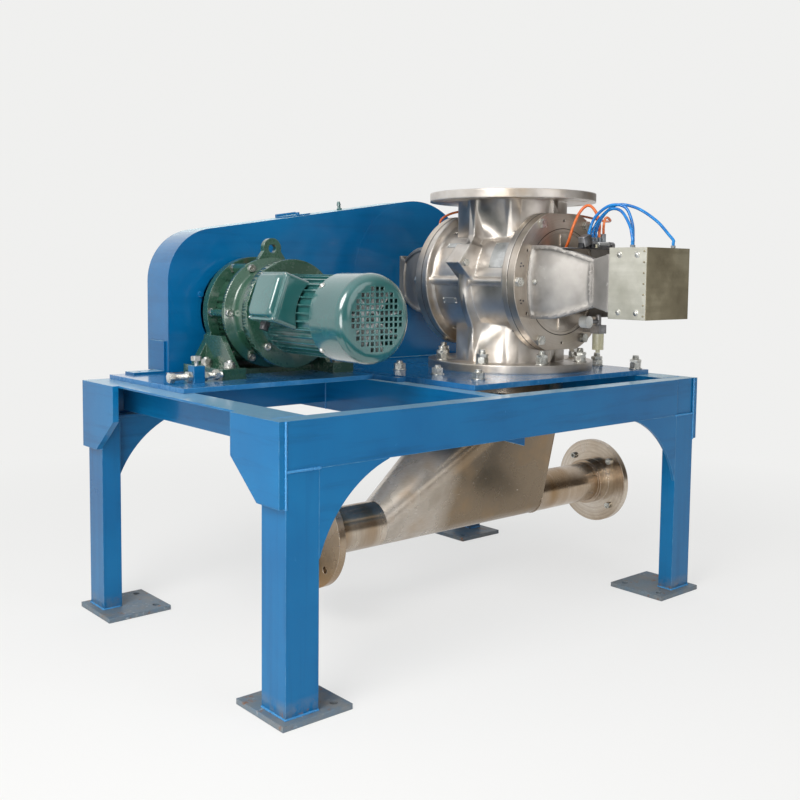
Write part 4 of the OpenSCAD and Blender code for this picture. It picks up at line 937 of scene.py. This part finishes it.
def frameWelds(f):
    lines = []
    end, low, on = f["end"], f["endPlate"], f["foot"]
    for right in (False, True):
        for back in (False, True):
            deep = f["post"] if back else f["flange"] * (1 if right else 2)
            across = end + (f["flange"] if back else f["post"])
            # round the leg on its foot, then the end plate against beam and leg
            for line in ([(end, 0, on), (across, 0, on), (across, deep, on), (end, deep, on), (end, 0, on)],
                         [(end, 0, f["top"] - f["under"]), (end, 0, low)],
                         [(end, 0, low), (end, f["post"], low)]):
                lines.append([(f["length"] - x if right else x, f["width"] - y if back else y, z)
                              for x, y, z in line])
    for y in (0, f["width"]):  # beam on leg
        lines.append([(f["legReach"], y, f["legTop"]), (end, y, f["legTop"])])
        lines.append([(f["length"] - end, y, f["legTop"]), (f["length"] - f["legReach"], y, f["legTop"])])
    return lines


weldPiece("frameWelds", frameWelds(frameSizes), frameSizes["lump"], "weldPaint")

railWelds = {"lump": 3.0, "lines": [
    [(16, 48.5, 606), (96, 48.5, 606)], [(1320, 48.5, 606), (1400, 48.5, 606)],
    [(618, 48.5, 606), (666, 48.5, 606)], [(96, 8.5, 505), (96, 8.5, 330)],
    [(1320, 8.5, 505), (1320, 8.5, 330)], [(618, 687, 606), (618, 687, 510)],
    [(96, 868, 606), (96, 868, 530)]]}
weldPiece("railWelds", railWelds["lines"], railWelds["lump"], "weldPaint", seed=9)
print("stage: welds")

# weld rings round the pipe, each at its place along X and with its radius
pipeWelds = {"lump": 2.2, "steps": 48, "rings": ((402.5, 60.6), (1198.0, 60.4), (1466.0, 61.0))}
weldPiece("pipeWelds", [[around((x, pipe["y"], pipe["z"]), radius, 360.0 * i / pipeWelds["steps"], "x")
                         for i in range(pipeWelds["steps"] + 1)] for x, radius in pipeWelds["rings"]],
          pipeWelds["lump"], "pipeSteel", "stainless", seed=5)

# the same forms as the solids, their curved faces shaded smooth
softSkins = {"shoe": (24, "shoeSteel", "stainless"), "bearing_yokes": (30, "yokeSteel", "stainless"),
             "valve_body": (24, "castSteel", "stainless"), "fan_cowl": (30, "motorPaint", "motor_paint"),
             "reducer_case": (30, "reducerPaint", "reducer_paint"),
             "guard_shell": (24, "casingPaint", "frame_paint")}


def softSkin(node, angle, finish, slotName):
    work = bmesh.new()
    work.from_mesh(cad[node].data)
    bmesh.ops.remove_doubles(work, verts=work.verts, dist=1e-6)
    mesh = bpy.data.meshes.new(node + "Skin")
    work.to_mesh(mesh)
    work.free()
    mesh.materials.clear()
    mesh.materials.append(finishes[finish])
    mesh.shade_smooth()
    mesh.set_sharp_from_angle(angle=math.radians(angle))
    obj = linkObject(node + "Soft", mesh)
    even = obj.modifiers.new("even", "WEIGHTED_NORMAL")
    even.keep_sharp = True
    even.mode = "FACE_AREA_WITH_ANGLE"
    bpy.context.view_layer.update()
    calm = bpy.data.meshes.new_from_object(obj.evaluated_get(bpy.context.evaluated_depsgraph_get()))
    calm.name = node + "Skin"
    bpy.data.objects.remove(obj)
    dress(linkObject(node + "Skin", calm), slotName, node)


for node, (angle, finish, slotName) in softSkins.items():
    softSkin(node, angle, finish, slotName)

for part in (studBig, studTall, boltHead, capHead, screwHead, rivet, collet):
    bpy.data.objects.remove(part)

# studio
studio = {"floor": (0.86, 0.86, 0.855), "backdrop": (0.87, 0.87, 0.86), "sky": 0.62,
          "dim": (0.62, 0.62, 0.66), "warm": (0.10, 0.085, 0.07), "bright": (-0.35, 0.60, 0.72),
          "half": 14.0, "under": -0.0006, "key": 90.0, "fill": 20.0, "low": 20.0}


def makeWorld(s):
    world = bpy.data.worlds.new("studio")
    bpy.context.scene.world = world
    world.use_nodes = True
    tree = world.node_tree
    tree.nodes.clear()
    way = addNode(tree, "ShaderNodeTexCoord").outputs["Generated"]
    lift = spread(tree, vectorMaths(tree, "DOT_PRODUCT", way, s["bright"]), -0.35, 0.55)
    white = (1.0, 1.0, 1.0, 1.0)
    shown = mixColor(tree, lift, (*s["warm"], 1.0), white)
    skyTone = mixColor(tree, lift, (*s["dim"], 1.0), white)
    sky = addNode(tree, "ShaderNodeBackground", {"Color": skyTone, "Strength": s["sky"]})
    seen = addNode(tree, "ShaderNodeBackground", {"Color": (*s["backdrop"], 1.0), "Strength": 1.0})
    mirrored = addNode(tree, "ShaderNodeBackground", {"Color": shown, "Strength": 1.0})
    path = addNode(tree, "ShaderNodeLightPath")
    gloss = maths(tree, "MAXIMUM", path.outputs["Is Glossy Ray"], path.outputs["Is Transmission Ray"])
    first = addNode(tree, "ShaderNodeMixShader", {0: gloss, 1: sky.outputs[0], 2: mirrored.outputs[0]})
    second = addNode(tree, "ShaderNodeMixShader", {0: path.outputs["Is Camera Ray"], 1: first.outputs[0],
                                                   2: seen.outputs[0]})
    addNode(tree, "ShaderNodeOutputWorld", {0: second.outputs[0]})


def makeFloor(s):
    mesh = bpy.data.meshes.new("floor")
    sheet = [(x * s["half"], y * s["half"], s["under"]) for x, y in ((-1, -1), (1, -1), (1, 1), (-1, 1))]
    mesh.from_pydata(sheet, [], [(0, 1, 2, 3)])
    obj = linkObject("floor", mesh)
    mat, tree, shader = startMaterial("floorWhite")
    setInputs(tree, shader, {"Base Color": (*s["floor"], 1.0), "Roughness": 0.9})
    glow = addNode(tree, "ShaderNodeEmission", {"Color": (*s["backdrop"], 1.0), "Strength": 1.0})
    path = addNode(tree, "ShaderNodeLightPath")
    seen = maths(tree, "MAXIMUM", path.outputs["Is Camera Ray"],
                 maths(tree, "MAXIMUM", path.outputs["Is Glossy Ray"], path.outputs["Is Transmission Ray"]))
    glowShare = spread(tree, vectorMaths(tree, "LENGTH", objectSpace(tree)), 0.9, 2.6, 0.72, 1.0)
    mix = addNode(tree, "ShaderNodeMixShader", {0: maths(tree, "MULTIPLY", seen, glowShare),
                                                1: shader.outputs[0], 2: glow.outputs[0]})
    end = [n for n in tree.nodes if n.type == "OUTPUT_MATERIAL"][0]
    tree.links.new(mix.outputs[0], end.inputs[0])
    mesh.materials.append(mat)


def softLight(name, place, aim, size, power, tone=(1, 1, 1)):
    data = bpy.data.lights.new(name, "AREA")
    data.shape = "DISK"
    data.size = size
    data.energy = power
    data.color = tone
    obj = linkObject(name, data)
    way = Vector(aim) - Vector(place)
    obj.matrix_world = Matrix.Translation(place) @ way.to_track_quat("-Z", "Y").to_matrix().to_4x4()


bpy.context.scene.view_settings.view_transform = "Standard"
makeWorld(studio)
makeFloor(studio)
softLight("keyLight", (-2.6, -0.9, 2.6), (0, 0, 0.6), 1.8, studio["key"], (1.0, 0.985, 0.96))
softLight("lowLight", (-2.4, -1.5, 0.55), (0.1, 0, 0.3), 1.2, studio["low"], (1.0, 0.99, 0.97))
softLight("fillLight", (0.4, -3.0, 1.9), (0.2, 0, 0.6), 2.4, studio["fill"])
print("stage: studio")
